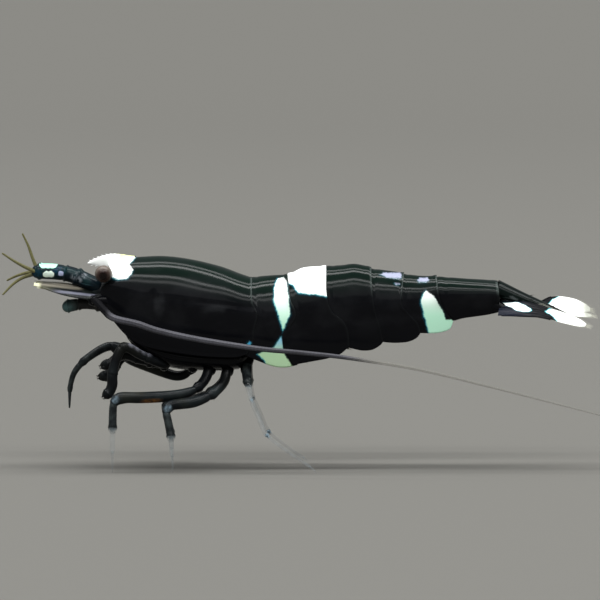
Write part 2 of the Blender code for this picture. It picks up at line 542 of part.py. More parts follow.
def tail_fan():
    """The telson with two blades on each side of it, pitched down behind the last plate."""
    def telson_place(p):
        root = Vector(TELSON_ROOT)
        x = root.x + p.x * math.cos(TELSON_PITCH) - p.z * math.sin(TELSON_PITCH)
        z = root.z + p.x * math.sin(TELSON_PITCH) + p.z * math.cos(TELSON_PITCH)
        return rolled(Vector((x, p.y, z)))

    blade("telson", TELSON_STATIONS, telson_place, BLACK_SHELL)
    for kind, fin in (("exopod", EXOPOD), ("endopod", ENDOPOD)):
        for side, word in ((-1, "left"), (1, "right")):
            root = Vector(fin["root"])

            def place(p):
                x = p.x * math.cos(fin["splay"]) - side * p.y * math.sin(fin["splay"])
                y = side * root.y + side * p.x * math.sin(fin["splay"]) + p.y * math.cos(fin["splay"])
                return rolled(Vector((root.x + x, y, root.z + p.z + x * math.sin(FAN_PITCH))))

            shape = leaf(fin["length"], fin["breadth"], BLADE_SHAPE)
            blade(f"uropod_{kind}_{word}", shape, place, WHITE_FIN)


for old in list(bpy.data.objects):
    bpy.data.objects.remove(old)
PARTS = bpy.data.collections.new("bee_shrimp")
CUTTERS = bpy.data.collections.new("cutters")
bpy.context.scene.collection.children.link(PARTS)
bpy.context.scene.collection.children.link(CUTTERS)

trunk()
thorax()
head()
feelers()
legs()
swimmerets()
tail_fan()
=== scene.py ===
# %% [markdown]
# # A bee shrimp, one piece at a time
# A bee shrimp is a glossy black animal of about 27 mm, with white and mint patches that look painted
# on. Its body is a row of thin shell plates, each tucked under the one before it, and everything else
# on it is a jointed tube or a thin blade. The solid model gives the size and place of each part. This
# lesson dresses it: every solid gets a finer piece that stands for it.

# %% Load the solid model
import math

import bmesh
import bpy
from mathutils import Matrix, Vector


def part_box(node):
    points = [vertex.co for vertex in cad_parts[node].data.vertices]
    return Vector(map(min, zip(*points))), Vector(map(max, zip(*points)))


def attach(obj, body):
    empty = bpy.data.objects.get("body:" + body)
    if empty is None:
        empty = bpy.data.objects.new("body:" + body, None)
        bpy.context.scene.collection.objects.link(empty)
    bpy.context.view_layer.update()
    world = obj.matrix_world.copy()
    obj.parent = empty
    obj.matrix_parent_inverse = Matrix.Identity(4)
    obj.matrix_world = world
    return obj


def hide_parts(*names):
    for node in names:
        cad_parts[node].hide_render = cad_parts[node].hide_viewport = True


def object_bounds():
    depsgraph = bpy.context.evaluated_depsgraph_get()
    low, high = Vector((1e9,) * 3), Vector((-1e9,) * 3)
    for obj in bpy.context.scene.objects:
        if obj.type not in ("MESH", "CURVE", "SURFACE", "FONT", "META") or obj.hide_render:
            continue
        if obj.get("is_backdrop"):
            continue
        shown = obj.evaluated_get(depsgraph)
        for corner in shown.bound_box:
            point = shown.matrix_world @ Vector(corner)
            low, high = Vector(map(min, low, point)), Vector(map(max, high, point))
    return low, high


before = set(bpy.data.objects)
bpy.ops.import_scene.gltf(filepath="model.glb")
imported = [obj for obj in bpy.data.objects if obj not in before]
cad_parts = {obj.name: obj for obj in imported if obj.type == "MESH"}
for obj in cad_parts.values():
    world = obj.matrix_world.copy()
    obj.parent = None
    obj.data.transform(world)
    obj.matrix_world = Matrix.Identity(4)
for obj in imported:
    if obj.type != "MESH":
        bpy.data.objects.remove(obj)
MM = 0.001  # shapes below are drawn in millimetres
size = {"cad": [list(corner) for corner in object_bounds()]}
box_in_mm = [[round(value / MM, 1) for value in corner] for corner in size["cad"]]
print("solid model:", len(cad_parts), "nodes, box in mm", box_in_mm)

# %% [markdown]
# ## Lines and tables
# A shape in nature is rarely straight, so most pieces below follow a curve through a few points. A
# Catmull-Rom curve passes through every point it is given, which makes it easy to plan by hand. The
# same curve also smooths a table of breadths, read as points of (place, value).


# %% Curves through a few points
STEPS_PER_SPAN = 16  # how finely a curve is followed before its points are spaced evenly


def curve_point(a, b, c, d, t):
    """The Catmull-Rom curve between b (t = 0) and c (t = 1), with their neighbours a and d."""
    bend = (2 * a - 5 * b + 4 * c - d) * t**2
    twist = (3 * b - a - 3 * c + d) * t**3
    return 0.5 * (2 * b + (c - a) * t + bend + twist)


def smooth_line(points, steps):
    """Evenly spaced points on a Catmull-Rom curve through the given ones, ends included."""
    knots = [Vector(p) for p in points]
    knots = [2 * knots[0] - knots[1], *knots, 2 * knots[-1] - knots[-2]]
    dense = []
    for span in zip(knots, knots[1:], knots[2:], knots[3:]):
        dense += [curve_point(*span, i / STEPS_PER_SPAN) for i in range(STEPS_PER_SPAN)]
    dense.append(knots[-2])
    run = [0.0]
    for a, b in zip(dense, dense[1:]):
        run.append(run[-1] + (b - a).length)
    line, j = [], 0
    for i in range(steps + 1):
        goal = run[-1] * i / steps
        while j < len(run) - 2 and run[j + 1] < goal:
            j += 1
        share = (goal - run[j]) / max(run[j + 1] - run[j], 1e-9)
        line.append(dense[j].lerp(dense[j + 1], min(1.0, share)))
    return line


# %% Tables and steps that are smooth
def table(points, steps=80):
    """A function that reads a smoothed table of (place, value) points."""
    line = [(p.x, p.y) for p in smooth_line(points, steps)]

    def read(at):
        if at <= line[0][0]:
            return line[0][1]
        for (x0, v0), (x1, v1) in zip(line, line[1:]):
            if at <= x1:
                return v0 + (v1 - v0) * (at - x0) / max(x1 - x0, 1e-9)
        return line[-1][1]

    return read


def clamp(value):
    return min(1.0, max(0.0, value))


def ease(value, low, high):
    """Rises smoothly from 0 at low to 1 at high."""
    t = clamp((value - low) / (high - low))
    return t * t * (3 - 2 * t)


# %% [markdown]
# ## The trunk's plan
# The trunk is planned from two sides: outlines of each plate seen from the left, X against Z, and a
# table of half breadths seen from above. The tail rolls a little about its own length, so its left
# side hangs lower. All of it repeats the solid model's plan, and the last lines compare the two.

# %% Outlines of the plates
half_breadth = table([
    (-11.9, 1.05), (-10.8, 1.45), (-9.2, 1.85), (-6.5, 2.06), (-4.2, 2.0), (-2.9, 1.84), (-1.0, 1.72),
    (1.0, 1.62), (3.5, 1.5), (5.4, 1.34), (7.2, 1.12), (9.5, 0.97), (10.8, 0.9)])
axis_height = table([
    (-12.0, 9.9), (-6.0, 9.1), (0.0, 9.0), (5.0, 9.2), (8.0, 9.6), (11.0, 9.7), (16.0, 8.4)])
hollow_ceiling = table([(-4.2, 7.5), (-2.0, 7.8), (1.0, 8.22), (4.0, 8.74), (6.0, 9.02), (9.0, 9.2)])

TAIL_ROLL = math.radians(15)
ROLL_FROM, ROLL_TO = 5.5, 12.0  # X between which the tail comes to be rolled

CARAPACE_FRONT = [
    (-11.3, 11.55), (-11.1, 11.25), (-11.02, 10.9), (-11.26, 10.58), (-11.6, 10.36), (-11.7, 9.85),
    (-11.62, 9.25), (-11.24, 8.78)]
PLATES = {
    "carapace": {
        "top": [
            (-11.3, 11.55), (-10.4, 11.86), (-9.2, 11.98), (-8.0, 12.0), (-6.6, 11.82), (-5.0, 11.44),
            (-3.85, 11.02), (-3.17, 10.79)],
        "low": [
            (-11.24, 8.78), (-10.4, 7.78), (-9.6, 7.15), (-8.3, 6.78), (-6.1, 6.46), (-4.2, 6.38),
            (-3.45, 6.56)],
        "hind": [(-3.17, 10.79), (-3.12, 9.5), (-2.84, 8.8), (-3.02, 7.9), (-3.11, 7.13), (-3.45, 6.56)],
    },
    "pleonite_1": {
        "top": [(-3.17, 10.76), (-2.15, 10.91), (-1.1, 10.96)],
        "low": [(-3.45, 6.56), (-2.7, 6.13), (-1.94, 5.86), (-1.3, 5.8), (-0.88, 5.92)],
        "hind": [(-1.1, 10.96), (-1.0, 9.7), (-0.95, 8.8), (-1.36, 7.95), (-1.42, 7.1), (-0.88, 5.92)],
    },
    "pleonite_2": {
        "top": [(-1.1, 10.9), (-0.8, 11.12), (-0.19, 11.36), (1.02, 11.44)],
        "low": [(-0.88, 5.92), (-0.4, 6.02), (0.05, 6.1), (1.15, 6.31), (1.79, 6.53), (2.34, 6.98)],
        "hind": [(1.02, 11.44), (1.05, 9.9), (1.36, 8.95), (1.9, 8.5), (2.25, 7.9), (2.34, 6.98)],
    },
    "pleonite_3": {
        "top": [(1.02, 11.3), (1.87, 11.49), (2.58, 11.57), (3.2, 11.47), (3.57, 11.34)],
        "low": [(2.34, 6.98), (2.55, 6.84), (3.06, 6.74), (3.61, 6.78), (4.05, 7.02), (4.24, 7.25)],
        "hind": [(3.57, 11.34), (3.61, 10.27), (3.78, 9.0), (4.07, 8.04), (4.24, 7.25)],
    },
    "pleonite_4": {
        "top": [(3.57, 11.24), (4.64, 11.17), (5.43, 11.04)],
        "low": [(4.24, 7.25), (4.6, 7.18), (5.12, 7.17), (5.67, 7.23), (6.11, 7.43), (6.34, 7.72)],
        "hind": [(5.43, 11.04), (5.31, 10.1), (5.27, 9.35), (5.67, 8.83), (6.2, 8.25), (6.34, 7.72)],
    },
    "pleonite_5": {
        "top": [(5.43, 10.94), (6.34, 10.89), (7.27, 10.89)],
        "low": [(6.34, 7.72), (6.85, 7.72), (7.45, 7.78), (8.0, 8.0), (8.2, 8.46)],
        "hind": [(7.27, 10.89), (7.4, 9.8), (7.7, 9.1), (8.2, 8.46)],
    },
    "pleonite_6": {
        "top": [(7.27, 10.79), (8.83, 10.74), (10.1, 10.66), (10.72, 10.56)],
        "low": [(8.2, 8.46), (8.83, 8.65), (10.1, 8.86), (10.72, 9.02)],
        "hind": [(10.72, 10.56), (10.8, 9.8), (10.72, 9.02)],
    },
}
for node, plate in PLATES.items():
    planned = max(x for x, z in plate["hind"])
    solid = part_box(node)[1].x / MM
    print(f"{node}: hind edge planned at {planned:.2f} mm, solid {solid:.2f} mm")

# %% The tail's roll
def roll_angle(x):
    return TAIL_ROLL * ease(x, ROLL_FROM, ROLL_TO)


def turned(point, angle):
    """The point turned about the trunk's middle line."""
    height = axis_height(point.x)
    up = point.z - height
    y = point.y * math.cos(angle) - up * math.sin(angle)
    z = point.y * math.sin(angle) + up * math.cos(angle)
    return Vector((point.x, y, height + z))


def rolled(point):
    return turned(point, roll_angle(point.x))


def unrolled(point):
    return turned(point, -roll_angle(point.x))


# %% [markdown]
# ## Shader arithmetic
# Node trees are easier to read as formulas than as lists of links. The class below wraps one output of
# a node, so that adding or multiplying two of them adds the Math node for it. Every other node comes
# from its method `node`, which is given the node's type, its settings and what goes into its sockets.


# %% A wire that can be reckoned with
WET = 1.18  # every finish is wet, so it mirrors much less than it would in air


class Wire:
    """One output of a node."""

    def __init__(self, tree, socket=None):
        self.tree, self.socket = tree, socket

    def node(self, kind, settings=None, inputs=None, output=0):
        made = self.tree.nodes.new(kind)
        for name, value in (settings or {}).items():
            setattr(made, name, value)
        for key, value in (inputs or {}).items():
            if isinstance(value, Wire):
                self.tree.links.new(value.socket, made.inputs[key])
            else:
                made.inputs[key].default_value = value
        return Wire(self.tree, made.outputs[output])

    def reckon(self, operation, *values):
        return self.node("ShaderNodeMath", {"operation": operation}, dict(enumerate(values)))

    def __add__(self, other):
        return self.reckon("ADD", self, other)

    __radd__ = __add__

    def __sub__(self, other):
        return self.reckon("SUBTRACT", self, other)

    def __rsub__(self, other):
        return self.reckon("SUBTRACT", other, self)

    def __mul__(self, other):
        return self.reckon("MULTIPLY", self, other)

    __rmul__ = __mul__

    def most(self, other):
        return self.reckon("MAXIMUM", self, other)

    def unsigned(self):
        return self.reckon("ABSOLUTE", self)

    def rise(self, low, high):
        """0 below low, 1 above high and smooth between them."""
        settings = {"interpolation_type": "SMOOTHSTEP", "clamp": True}
        return self.node("ShaderNodeMapRange", settings, {"Value": self, "From Min": low, "From Max": high})

    def blend(self, first, second):
        """A colour that goes from first to second as this wire goes from 0 to 1."""
        inputs = {"Factor": self, 6: first, 7: second}
        return self.node("ShaderNodeMix", {"data_type": "RGBA", "clamp_factor": True}, inputs, 2)

    def attribute(self, name):
        return self.node("ShaderNodeAttribute", {"attribute_name": name}, output=2)

    def colour(self, name):
        return self.node("ShaderNodeAttribute", {"attribute_name": name}, output=0)

    def noise(self, scale, detail=2.0, stretch=(1, 1, 1)):
        """Cloudy noise, from 0 to 1 around 0.5. Scale counts features per millimetre."""
        place = self.node("ShaderNodeTexCoord", output=3)
        where = self.node("ShaderNodeMapping", inputs={"Vector": place, "Scale": stretch})
        inputs = {"Vector": where, "Scale": scale / MM, "Detail": detail}
        return self.node("ShaderNodeTexNoise", inputs=inputs)

    def cells(self, scale):
        """Distance to the middles of a pattern of cells. Scale counts cells per millimetre."""
        place = self.node("ShaderNodeTexCoord", output=3)
        return self.node("ShaderNodeTexVoronoi", {"feature": "F1"}, {"Vector": place, "Scale": scale / MM})

    def bump(self, height, depth, strength):
        """A normal from a height wire. Depth is in millimetres."""
        inputs = {"Strength": strength, "Distance": depth * MM, "Height": height}
        return self.node("ShaderNodeBump", inputs=inputs)


# %% Materials from formulas
def shader_socket(material, name):
    """A socket of the material's shader by its name in small letters, such as base_color."""
    shader = material.node_tree.nodes["Principled BSDF"]
    return shader.inputs["IOR" if name == "ior" else name.replace("_", " ").title()]


def finish(name, **constants):
    """A material with its constant values set, and a wire to start its formulas from."""
    material = bpy.data.materials.new(name)
    material.use_nodes = True
    for key, value in {"roughness": 0.3, "ior": WET, **constants}.items():
        shader_socket(material, key).default_value = value
    return material, Wire(material.node_tree)


def feed(material, **links):
    """Links wires to the shader's sockets."""
    for key, wire in links.items():
        material.node_tree.links.new(wire.socket, shader_socket(material, key))


# %% [markdown]
# ## The black shell
# A live shell is thin, wet and clear over a black skin, so it reflects little: its index of refraction
# against water is low, and it looks blacker than any dry black paint. A low IOR with a small roughness
# gives that look, with only narrow highlights. The patches are opaque white cells under the shell, with
# a mint rim where they thin out. Each vertex stores its distance from the nearest patch's edge, and the
# shader turns that one number into white, mint, blue and black, with noise to fray the border.

# %% Colours of the shell
BLACK = (0.0030, 0.0032, 0.0042, 1)
GREEN_BLACK = (0.0038, 0.0096, 0.0070, 1)
SLATE = (0.015, 0.016, 0.018, 1)
TEAL = (0.004, 0.045, 0.070, 1)
CYAN = (0.10, 0.44, 0.48, 1)
WHITE = (0.93, 0.96, 0.94, 1)
CREAM = (0.80, 0.86, 0.40, 1)
MINT = (0.52, 0.90, 0.68, 1)
LEAF = (0.46, 0.68, 0.42, 1)
LILAC = (0.30, 0.32, 0.43, 1)
PALE_BLUE = (0.24, 0.56, 0.80, 1)
AZURE = (0.05, 0.32, 0.62, 1)
EDGE_GREY = (0.048, 0.060, 0.056, 1)
# Grey of the painted reflections on the telson's lower side.
SHEEN = (0.060, 0.070, 0.072, 1)


def patch_colours(wire, base):
    """Base colour under the patches, and the distance (mm, more than 0 inside) with its frayed edge."""
    coarse, fine = wire.noise(2.2, 3.0), wire.noise(9.0, 2.0)
    depth = wire.attribute("patch") + (coarse - 0.5) * 0.18 + (fine - 0.5) * 0.10
    cool = wire.attribute("cool")
    colour = (depth.rise(-0.12, 0.0) * cool).blend(base, TEAL)
    colour = (depth.rise(-0.03, 0.03) * cool).blend(colour, CYAN)
    return depth.rise(0.0, 0.09).blend(colour, wire.colour("tint")), depth


shell, wire = finish("black_shell", roughness=0.12)
mottle = wire.noise(0.8, 4.0, (0.7, 1, 1))
base = (wire.attribute("back") * (0.70 + mottle * 0.6)).blend(BLACK, GREEN_BLACK)
# Grey mottle on the flank: faint, it is the shell's own; strong in two soft spots, it is painted sheen.
base = (mottle.rise(0.40, 0.65) * wire.attribute("flank")).blend(base, SLATE)
# The grey rim of the hind margins: the clear edge of the shell, strengthened as a painted highlight on the
# upper flank.
base = wire.attribute("rim").blend(base, EDGE_GREY)
colour, depth = patch_colours(wire, base)
swell, pits = wire.noise(0.5, 0.0), wire.cells(7.0)
feed(shell, base_color=colour, roughness=0.12 + depth.rise(0.0, 0.2) * 0.24 + (mottle - 0.5) * 0.06,
     normal=wire.bump(swell + pits * 0.008, 0.05, 1.0))

# %% [markdown]
# ## Making a piece
# Every shape is drawn in a bmesh, in millimetres. One function then merges its doubles, turns its
# faces outwards, scales it to metres, and sets it in the scene: it rides on the one body, the solids
# it stands for are hidden, and its finish goes into its one slot. A dictionary of painters can give it
# attributes, each worked out from a vertex's own place.

# %% From bmesh to object
pieces = []


def new_layers(bm, painters):
    """A layer on the vertices for each painter: colours for a tint, plain numbers for the rest."""
    kinds = bm.verts.layers
    return {key: (kinds.float_color if key == "tint" else kinds.float).new(key) for key in painters}


CREASE = math.radians(40)  # sharper edges than this stay sharp
SAME_PLACE = 1e-4  # vertices nearer than this are merged, mm


def make_piece(name, bm, material, stands_for=(), paint=None, recalculate=True):
    """The finished piece. Without recalculate, the mesh and its faces' directions are left as drawn."""
    if recalculate:
        bmesh.ops.remove_doubles(bm, verts=bm.verts, dist=SAME_PLACE)
        bmesh.ops.recalc_face_normals(bm, faces=bm.faces)
    layers = new_layers(bm, paint or {})
    for vertex in bm.verts:
        for key, layer in layers.items():
            vertex[layer] = paint[key](vertex.co)
    bmesh.ops.scale(bm, vec=(MM, MM, MM), verts=bm.verts)
    mesh = bpy.data.meshes.new(name)
    bm.to_mesh(mesh)
    bm.free()
    mesh.shade_smooth()
    mesh.set_sharp_from_angle(angle=CREASE)
    piece = bpy.data.objects.new(name, mesh)
    bpy.context.scene.collection.objects.link(piece)
    mesh.materials.append(material)
    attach(piece, "root")
    if stands_for:
        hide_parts(*stands_for)
    pieces.append(piece)
    return piece


def thicken(piece, thickness):
    """Gives an open shell a wall that grows inwards."""
    modifier = piece.modifiers.new("wall", "SOLIDIFY")
    modifier.thickness = thickness * MM
    modifier.offset = -1
    modifier.use_rim = True

# %% [markdown]
# ## Patches as outlines
# A patch is an outline on the trunk's side, X against Z, with one colour at its top and one at its
# foot. The signed distance to its edge is the least distance to any of its sides, counted as positive
# inside. Stored on the vertices, it is smooth, so a shader can place a crisp border between two
# vertices. Edges that face down or forward are cool: there the white thins out through cyan to teal.

# %% Where the white patches lie
# Each patch is (tint at its top, tint at its foot, share of its height over which they blend,
# strength of its cool border, outline).
PATCHES = {
    "carapace": [
        (CREAM, WHITE, 0.12, 0.45, [
            (-11.7, 11.35), (-11.7, 12.12), (-9.6, 12.12), (-9.8, 11.84), (-10.02, 11.6), (-9.8, 11.28),
            (-9.9, 11.04), (-10.13, 10.81), (-10.64, 10.7), (-11.0, 10.82)]),
        (AZURE, AZURE, 1.0, 1.0, [
            (-3.44, 7.2), (-3.28, 7.36), (-3.16, 7.28), (-3.24, 7.1), (-3.38, 7.04)])],
    "pleonite_1": [
        (WHITE, MINT, 1.0, 1.0, [
            (-1.36, 10.85), (-1.16, 10.56), (-1.05, 9.57), (-0.98, 8.78), (-1.41, 7.8), (-1.7, 8.78),
            (-1.96, 9.57), (-1.92, 10.4), (-1.72, 10.8)]),
        (PALE_BLUE, LEAF, 0.55, 0.8, [
            (-1.48, 7.62), (-1.95, 6.98), (-2.89, 6.57), (-2.45, 6.15), (-2.2, 5.6), (-0.6, 5.6),
            (-1.05, 6.2), (-1.34, 6.7)])],
    "pleonite_2": [
        (WHITE, WHITE, 1.0, 0.9, [
            (-1.6, 10.66), (-1.6, 12.0), (1.25, 12.0), (1.2, 9.72), (0.68, 9.84), (-0.57, 9.96),
            (-0.9, 10.44)])],
    "pleonite_4": [
        (LILAC, LILAC, 1.0, 0.15, [
            (4.02, 10.98), (4.25, 11.14), (5.2, 11.1), (5.36, 10.92), (5.28, 10.72), (4.5, 10.8)]),
        (LILAC, LILAC, 1.0, 0.15, [(4.84, 10.56), (5.18, 10.56), (5.22, 10.4), (4.92, 10.4)])],
    "pleonite_5": [
        (WHITE, MINT, 0.6, 1.0, [
            (6.65, 10.2), (7.13, 9.84), (7.44, 9.32), (7.81, 8.6), (8.6, 8.5), (8.4, 7.6), (6.85, 7.5),
            (6.73, 8.0), (6.51, 8.68), (6.34, 9.53), (6.45, 9.97)]),
        (LILAC, LILAC, 1.0, 0.15, [
            (6.12, 10.68), (6.3, 10.84), (6.76, 10.84), (6.88, 10.7), (6.7, 10.56), (6.25, 10.56)])],
    # The telson's two grey spots are painted reflections on its lower side.
    "telson": [
        (SHEEN, SHEEN, 1.0, 0.0, [
            (11.25, 10.02), (11.6, 9.94), (11.95, 9.72), (11.85, 9.58), (11.45, 9.7)]),
        (SHEEN, SHEEN, 1.0, 0.0, [
            (12.02, 9.7), (12.4, 9.62), (12.85, 9.4), (12.7, 9.26), (12.25, 9.4)])],
}

# %% How far a point lies from a patch
FAR_OUTSIDE = -1.0  # the least distance that is told apart, mm


def signed_distance(point, outline):
    """Distance to a closed outline in millimetres, positive inside, and how cool the nearest edge is."""
    x, z = point.x, point.z
    nearest, foot, inside = 1e9, (0, 0), False
    for (ax, az), (bx, bz) in zip(outline, [*outline[1:], outline[0]]):
        dx, dz = bx - ax, bz - az
        along = clamp(((x - ax) * dx + (z - az) * dz) / (dx * dx + dz * dz))
        to_x, to_z = ax + along * dx - x, az + along * dz - z
        if math.hypot(to_x, to_z) < nearest:
            nearest, foot = math.hypot(to_x, to_z), (to_x, to_z)
        if (az > z) != (bz > z) and x < ax + dx * (z - az) / dz:
            inside = not inside
    sign = 1 if inside else -1
    out_x, out_z = (sign * part / max(nearest, 1e-6) for part in foot)
    return sign * nearest, clamp(0.5 - 0.5 * out_z - 0.25 * out_x)


def mix(first, second, share):
    """A colour between two colours."""
    return tuple(a + (b - a) * share for a, b in zip(first, second))


def nearest_patch(node, point):
    """(distance, tint, coolness) of the patch of a plate that lies nearest to a point."""
    best = (FAR_OUTSIDE, WHITE, 0.0)
    for upper, lower, fade, border, outline in PATCHES.get(node, []):
        distance, cool = signed_distance(point, outline)
        if distance > best[0]:
            heights = [z for x, z in outline]
            share = ease(max(heights) - point.z, 0.0, fade * (max(heights) - min(heights)))
            best = (distance, mix(upper, lower, share), cool * border)
    return best

# %% [markdown]
# ## Shell plates
# A plate is a thin shell whose four edges are known: front and hind margin, back and lower edge. A
# Coons patch fills four such edges with an even surface. The cross-section is a rounded arch: an
# oval over the back, then a flank that turns in slightly. A flat grid is the start, and each of its
# points moves to its place on the patch. A Solidify modifier gives the wall its thickness. Each hind
# margin has a raised lip that lies over the next plate, and the front margin dips under the one before.

# %% The arch of a plate
WIDEST = 0.50  # share of the depth at which the arch is widest
TUCK = 0.10  # share of the breadth that the flank turns in by
BACK_SHARE = 0.58  # share of the girth, from the back's middle down, that the oval takes


def arch(girth):
    """(share of half breadth, share of depth) at a place from the back's middle, 0, to the lower edge, 1."""
    if girth < BACK_SHARE:
        angle = math.pi / 2 * girth / BACK_SHARE
        return math.sin(angle), WIDEST * (1 - math.cos(angle))
    share = (girth - BACK_SHARE) / (1 - BACK_SHARE)
    return 1 - TUCK * share**2, WIDEST + (1 - WIDEST) * share


# %% A plate's surface
def side_line(points, steps):
    """A smooth line through points given as X and Z, in the middle plane."""
    return smooth_line([(x, 0, z) for x, z in points], steps)


class Plate:
    """A Coons patch between four outlines, sampled finely so that places on it can be read."""

    FINE = 120  # steps on each outline

    def __init__(self, front, hind, top, low):
        top = [front[0], *top[1:-1], hind[0]]
        low = [front[-1], *low[1:-1], hind[-1]]
        self.lines = [side_line(line, self.FINE) for line in (front, hind, top, low)]

    def read(self, line, share):
        place = min(self.FINE - 1e-6, max(0.0, share * self.FINE))
        i = int(place)
        return self.lines[line][i].lerp(self.lines[line][i + 1], place - i)

    def point(self, along, girth, side):
        """A point of the plate: along from 0 to 1, girth from the back's middle, side -1 or 1."""
        across, down = arch(girth)
        front, hind = self.read(0, down), self.read(1, down)
        ruled = front.lerp(hind, along) + self.read(2, along).lerp(self.read(3, along), down)
        top = self.lines[0][0].lerp(self.lines[1][0], along)
        low = self.lines[0][-1].lerp(self.lines[1][-1], along)
        point = ruled - top.lerp(low, down)
        return Vector((point.x, side * across * half_breadth(point.x), point.z))

# %% Build one plate
# Painted sheen: soft lighter spots on the carapace's flank, where the front lamp is mirrored: (X, Z, half
# length, half height).
SHEEN_SPOTS = [(-8.35, 9.45, 0.38, 0.95), (-5.1, 9.05, 1.25, 0.36)]
# The grey rim on a hind margin, partly the clear edge of the shell and partly a painted highlight on
# the upper flank: shares of a plate's length from which and by which it is there, and its strength.
CARAPACE_RIM, TAIL_RIM = (0.985, 0.996, 1.0), (0.955, 0.975, 0.8)
WALL = 0.09  # thickness of the shell
TRUNK_MIDDLE = 9.0  # height of the trunk's middle, to tell which way is outwards


# Painted sheen: 1 in the middle of a soft spot on the flank, fading to 0 at its edge.
def sheen_spot(point):
    gaps = [math.hypot((point.x - x) / wide, (point.z - z) / tall) for x, z, wide, tall in SHEEN_SPOTS]
    return max(1 - ease(gap, 0.5, 1.1) for gap in gaps)


def plate_colours(node, flat, along, girth):
    """The values that the shell's shader reads at one place of a plate."""
    start, full, strength = CARAPACE_RIM if node == "carapace" else TAIL_RIM
    # lit is the upper flank, where the lamps fall: there the rim is painted stronger, a painted highlight.
    lit = ease(girth, 0.03, 0.10) * (1 - ease(girth, 0.32, 0.50))
    distance, tint, cool = nearest_patch(node, flat)
    return {
        "patch": distance, "tint": tint, "cool": cool,
        "back": 1 - ease(girth, 0.24, 0.50),
        # Faint grey mottle on the flank, stronger in the painted sheen spots, and gone low down.
        "flank": (0.25 + 0.75 * sheen_spot(flat)) * (1 - ease(girth, 0.72, 0.9)),
        "rim": ease(along, start, full) * strength * (0.05 + 0.95 * lit)}


def face_outwards(bm):
    """Gives the faces normals that point away from the trunk's middle line."""
    bm.normal_update()
    bm.faces.ensure_lookup_table()
    face = bm.faces[len(bm.faces) // 2]
    centre = face.calc_center_median()
    if face.normal.dot(Vector((0, centre.y, centre.z - TRUNK_MIDDLE))) < 0:
        bmesh.ops.reverse_faces(bm, faces=bm.faces)
        bm.normal_update()


def build_plate(node, plate, grid, relief):
    """A grid laid on the plate and pushed out by relief(along, girth), in millimetres."""
    bm = bmesh.new()
    layers = new_layers(bm, ("patch", "tint", "cool", "back", "flank", "rim"))
    bmesh.ops.create_grid(bm, x_segments=grid[0], y_segments=grid[1], size=0.5)
    spots = {v: (v.co.x + 0.5, abs(v.co.y) * 2, -1 if v.co.y < 0 else 1) for v in bm.verts}
    for vertex, spot in spots.items():
        vertex.co = plate.point(*spot)
    face_outwards(bm)
    moved = {}
    for vertex, (along, girth, side) in spots.items():
        for key, value in plate_colours(node, vertex.co, along, girth).items():
            vertex[layers[key]] = value
        moved[vertex] = rolled(vertex.co + vertex.normal * relief(along, girth))
    for vertex, place in moved.items():
        vertex.co = place
    thicken(make_piece(f"{node}_shell", bm, shell, [node], recalculate=False), WALL)

# %% Reliefs, and all the plates
def bell(distance, width):
    """1 at distance 0, and less and less on both sides of it."""
    return math.exp(-((distance / width) ** 2))


def plate_relief(over=0.0, under=0.0):
    """Lip at the hind margin and dip at the front one. Low on the flank, a plate may lie over the one
    before it (over) or reach in under the one behind it (under)."""

    def relief(along, girth):
        low = ease(girth, 0.60, 0.72)
        lip = (0.045 - 0.03 * low - 0.09 * under * low) * ease(along, 0.86, 0.97)
        dip = (-0.10 + 0.15 * over * low) * (1 - ease(along, 0.0, 0.14))
        furrow = -0.02 * bell(along - 0.24, 0.05) * (1 - ease(girth, 0.5, 0.7))
        return lip + dip + furrow

    return relief


def carapace_relief(along, girth):
    """A shallow groove over the gill chamber, one behind the jaw, and a thin raised hem below."""
    jaw_span = ease(girth, 0.42, 0.5) * (1 - ease(girth, 0.7, 0.8))
    jaw = -0.035 * bell(along - 0.24 - 0.20 * girth, 0.03) * jaw_span
    gill = -0.03 * bell(girth - 0.60 + 0.12 * along, 0.03) * ease(along, 0.25, 0.4)
    hem = 0.035 * ease(girth, 0.965, 0.99)
    return jaw + gill + hem + 0.03 * ease(along, 0.985, 0.998)


CARAPACE_GRID, TAIL_GRID = (150, 150), (64, 130)
TUCKED = 0.30  # how far a plate reaches in under the plate before it
LAP_FROM, LAP_TO = 9.3, 8.7  # heights between which the second plate comes to lie over the first


def lap(height):
    """1 low on the flank, where the second plate lies over the first, and 0 over the back."""
    return ease(-height, -LAP_FROM, -LAP_TO)


front = CARAPACE_FRONT
for node, outline in PLATES.items():
    hind, before_lap = outline["hind"], node == "pleonite_1"
    if before_lap:
        hind = [(x + TUCKED * lap(z), z) for x, z in hind]
    plate = Plate(front, hind, outline["top"], outline["low"])
    if node == "carapace":
        build_plate(node, plate, CARAPACE_GRID, carapace_relief)
    else:
        build_plate(node, plate, TAIL_GRID, plate_relief(over=node == "pleonite_2", under=before_lap))
    front = [(x - TUCKED * (1 - lap(z) if before_lap else 1), z) for x, z in outline["hind"]]
print("shell plates:", len(pieces))

# %% Painters for other pieces in the shell's finish
def nowhere(place):
    return 0.0


def shell_paint(node=None, back=1.0):
    """Painters for a piece that shares the shell's finish, with the patches of a node."""
    patch = {key: lambda place, i=i: nearest_patch(node, unrolled(place))[i]
             for i, key in enumerate(("patch", "tint", "cool"))}
    return {**patch, "back": lambda place: back, "flank": nowhere, "rim": nowhere}

# %% [markdown]
# ## Tubes and blades
# Legs, feelers and fins are all rings drawn out along a line: a circle is created, extruded edge by
# edge, and each new ring is moved to its place by a matrix. A limb's ring is round. A blade's ring is
# wide and thin. Both ends shrink to a small cap, so the skin is closed.


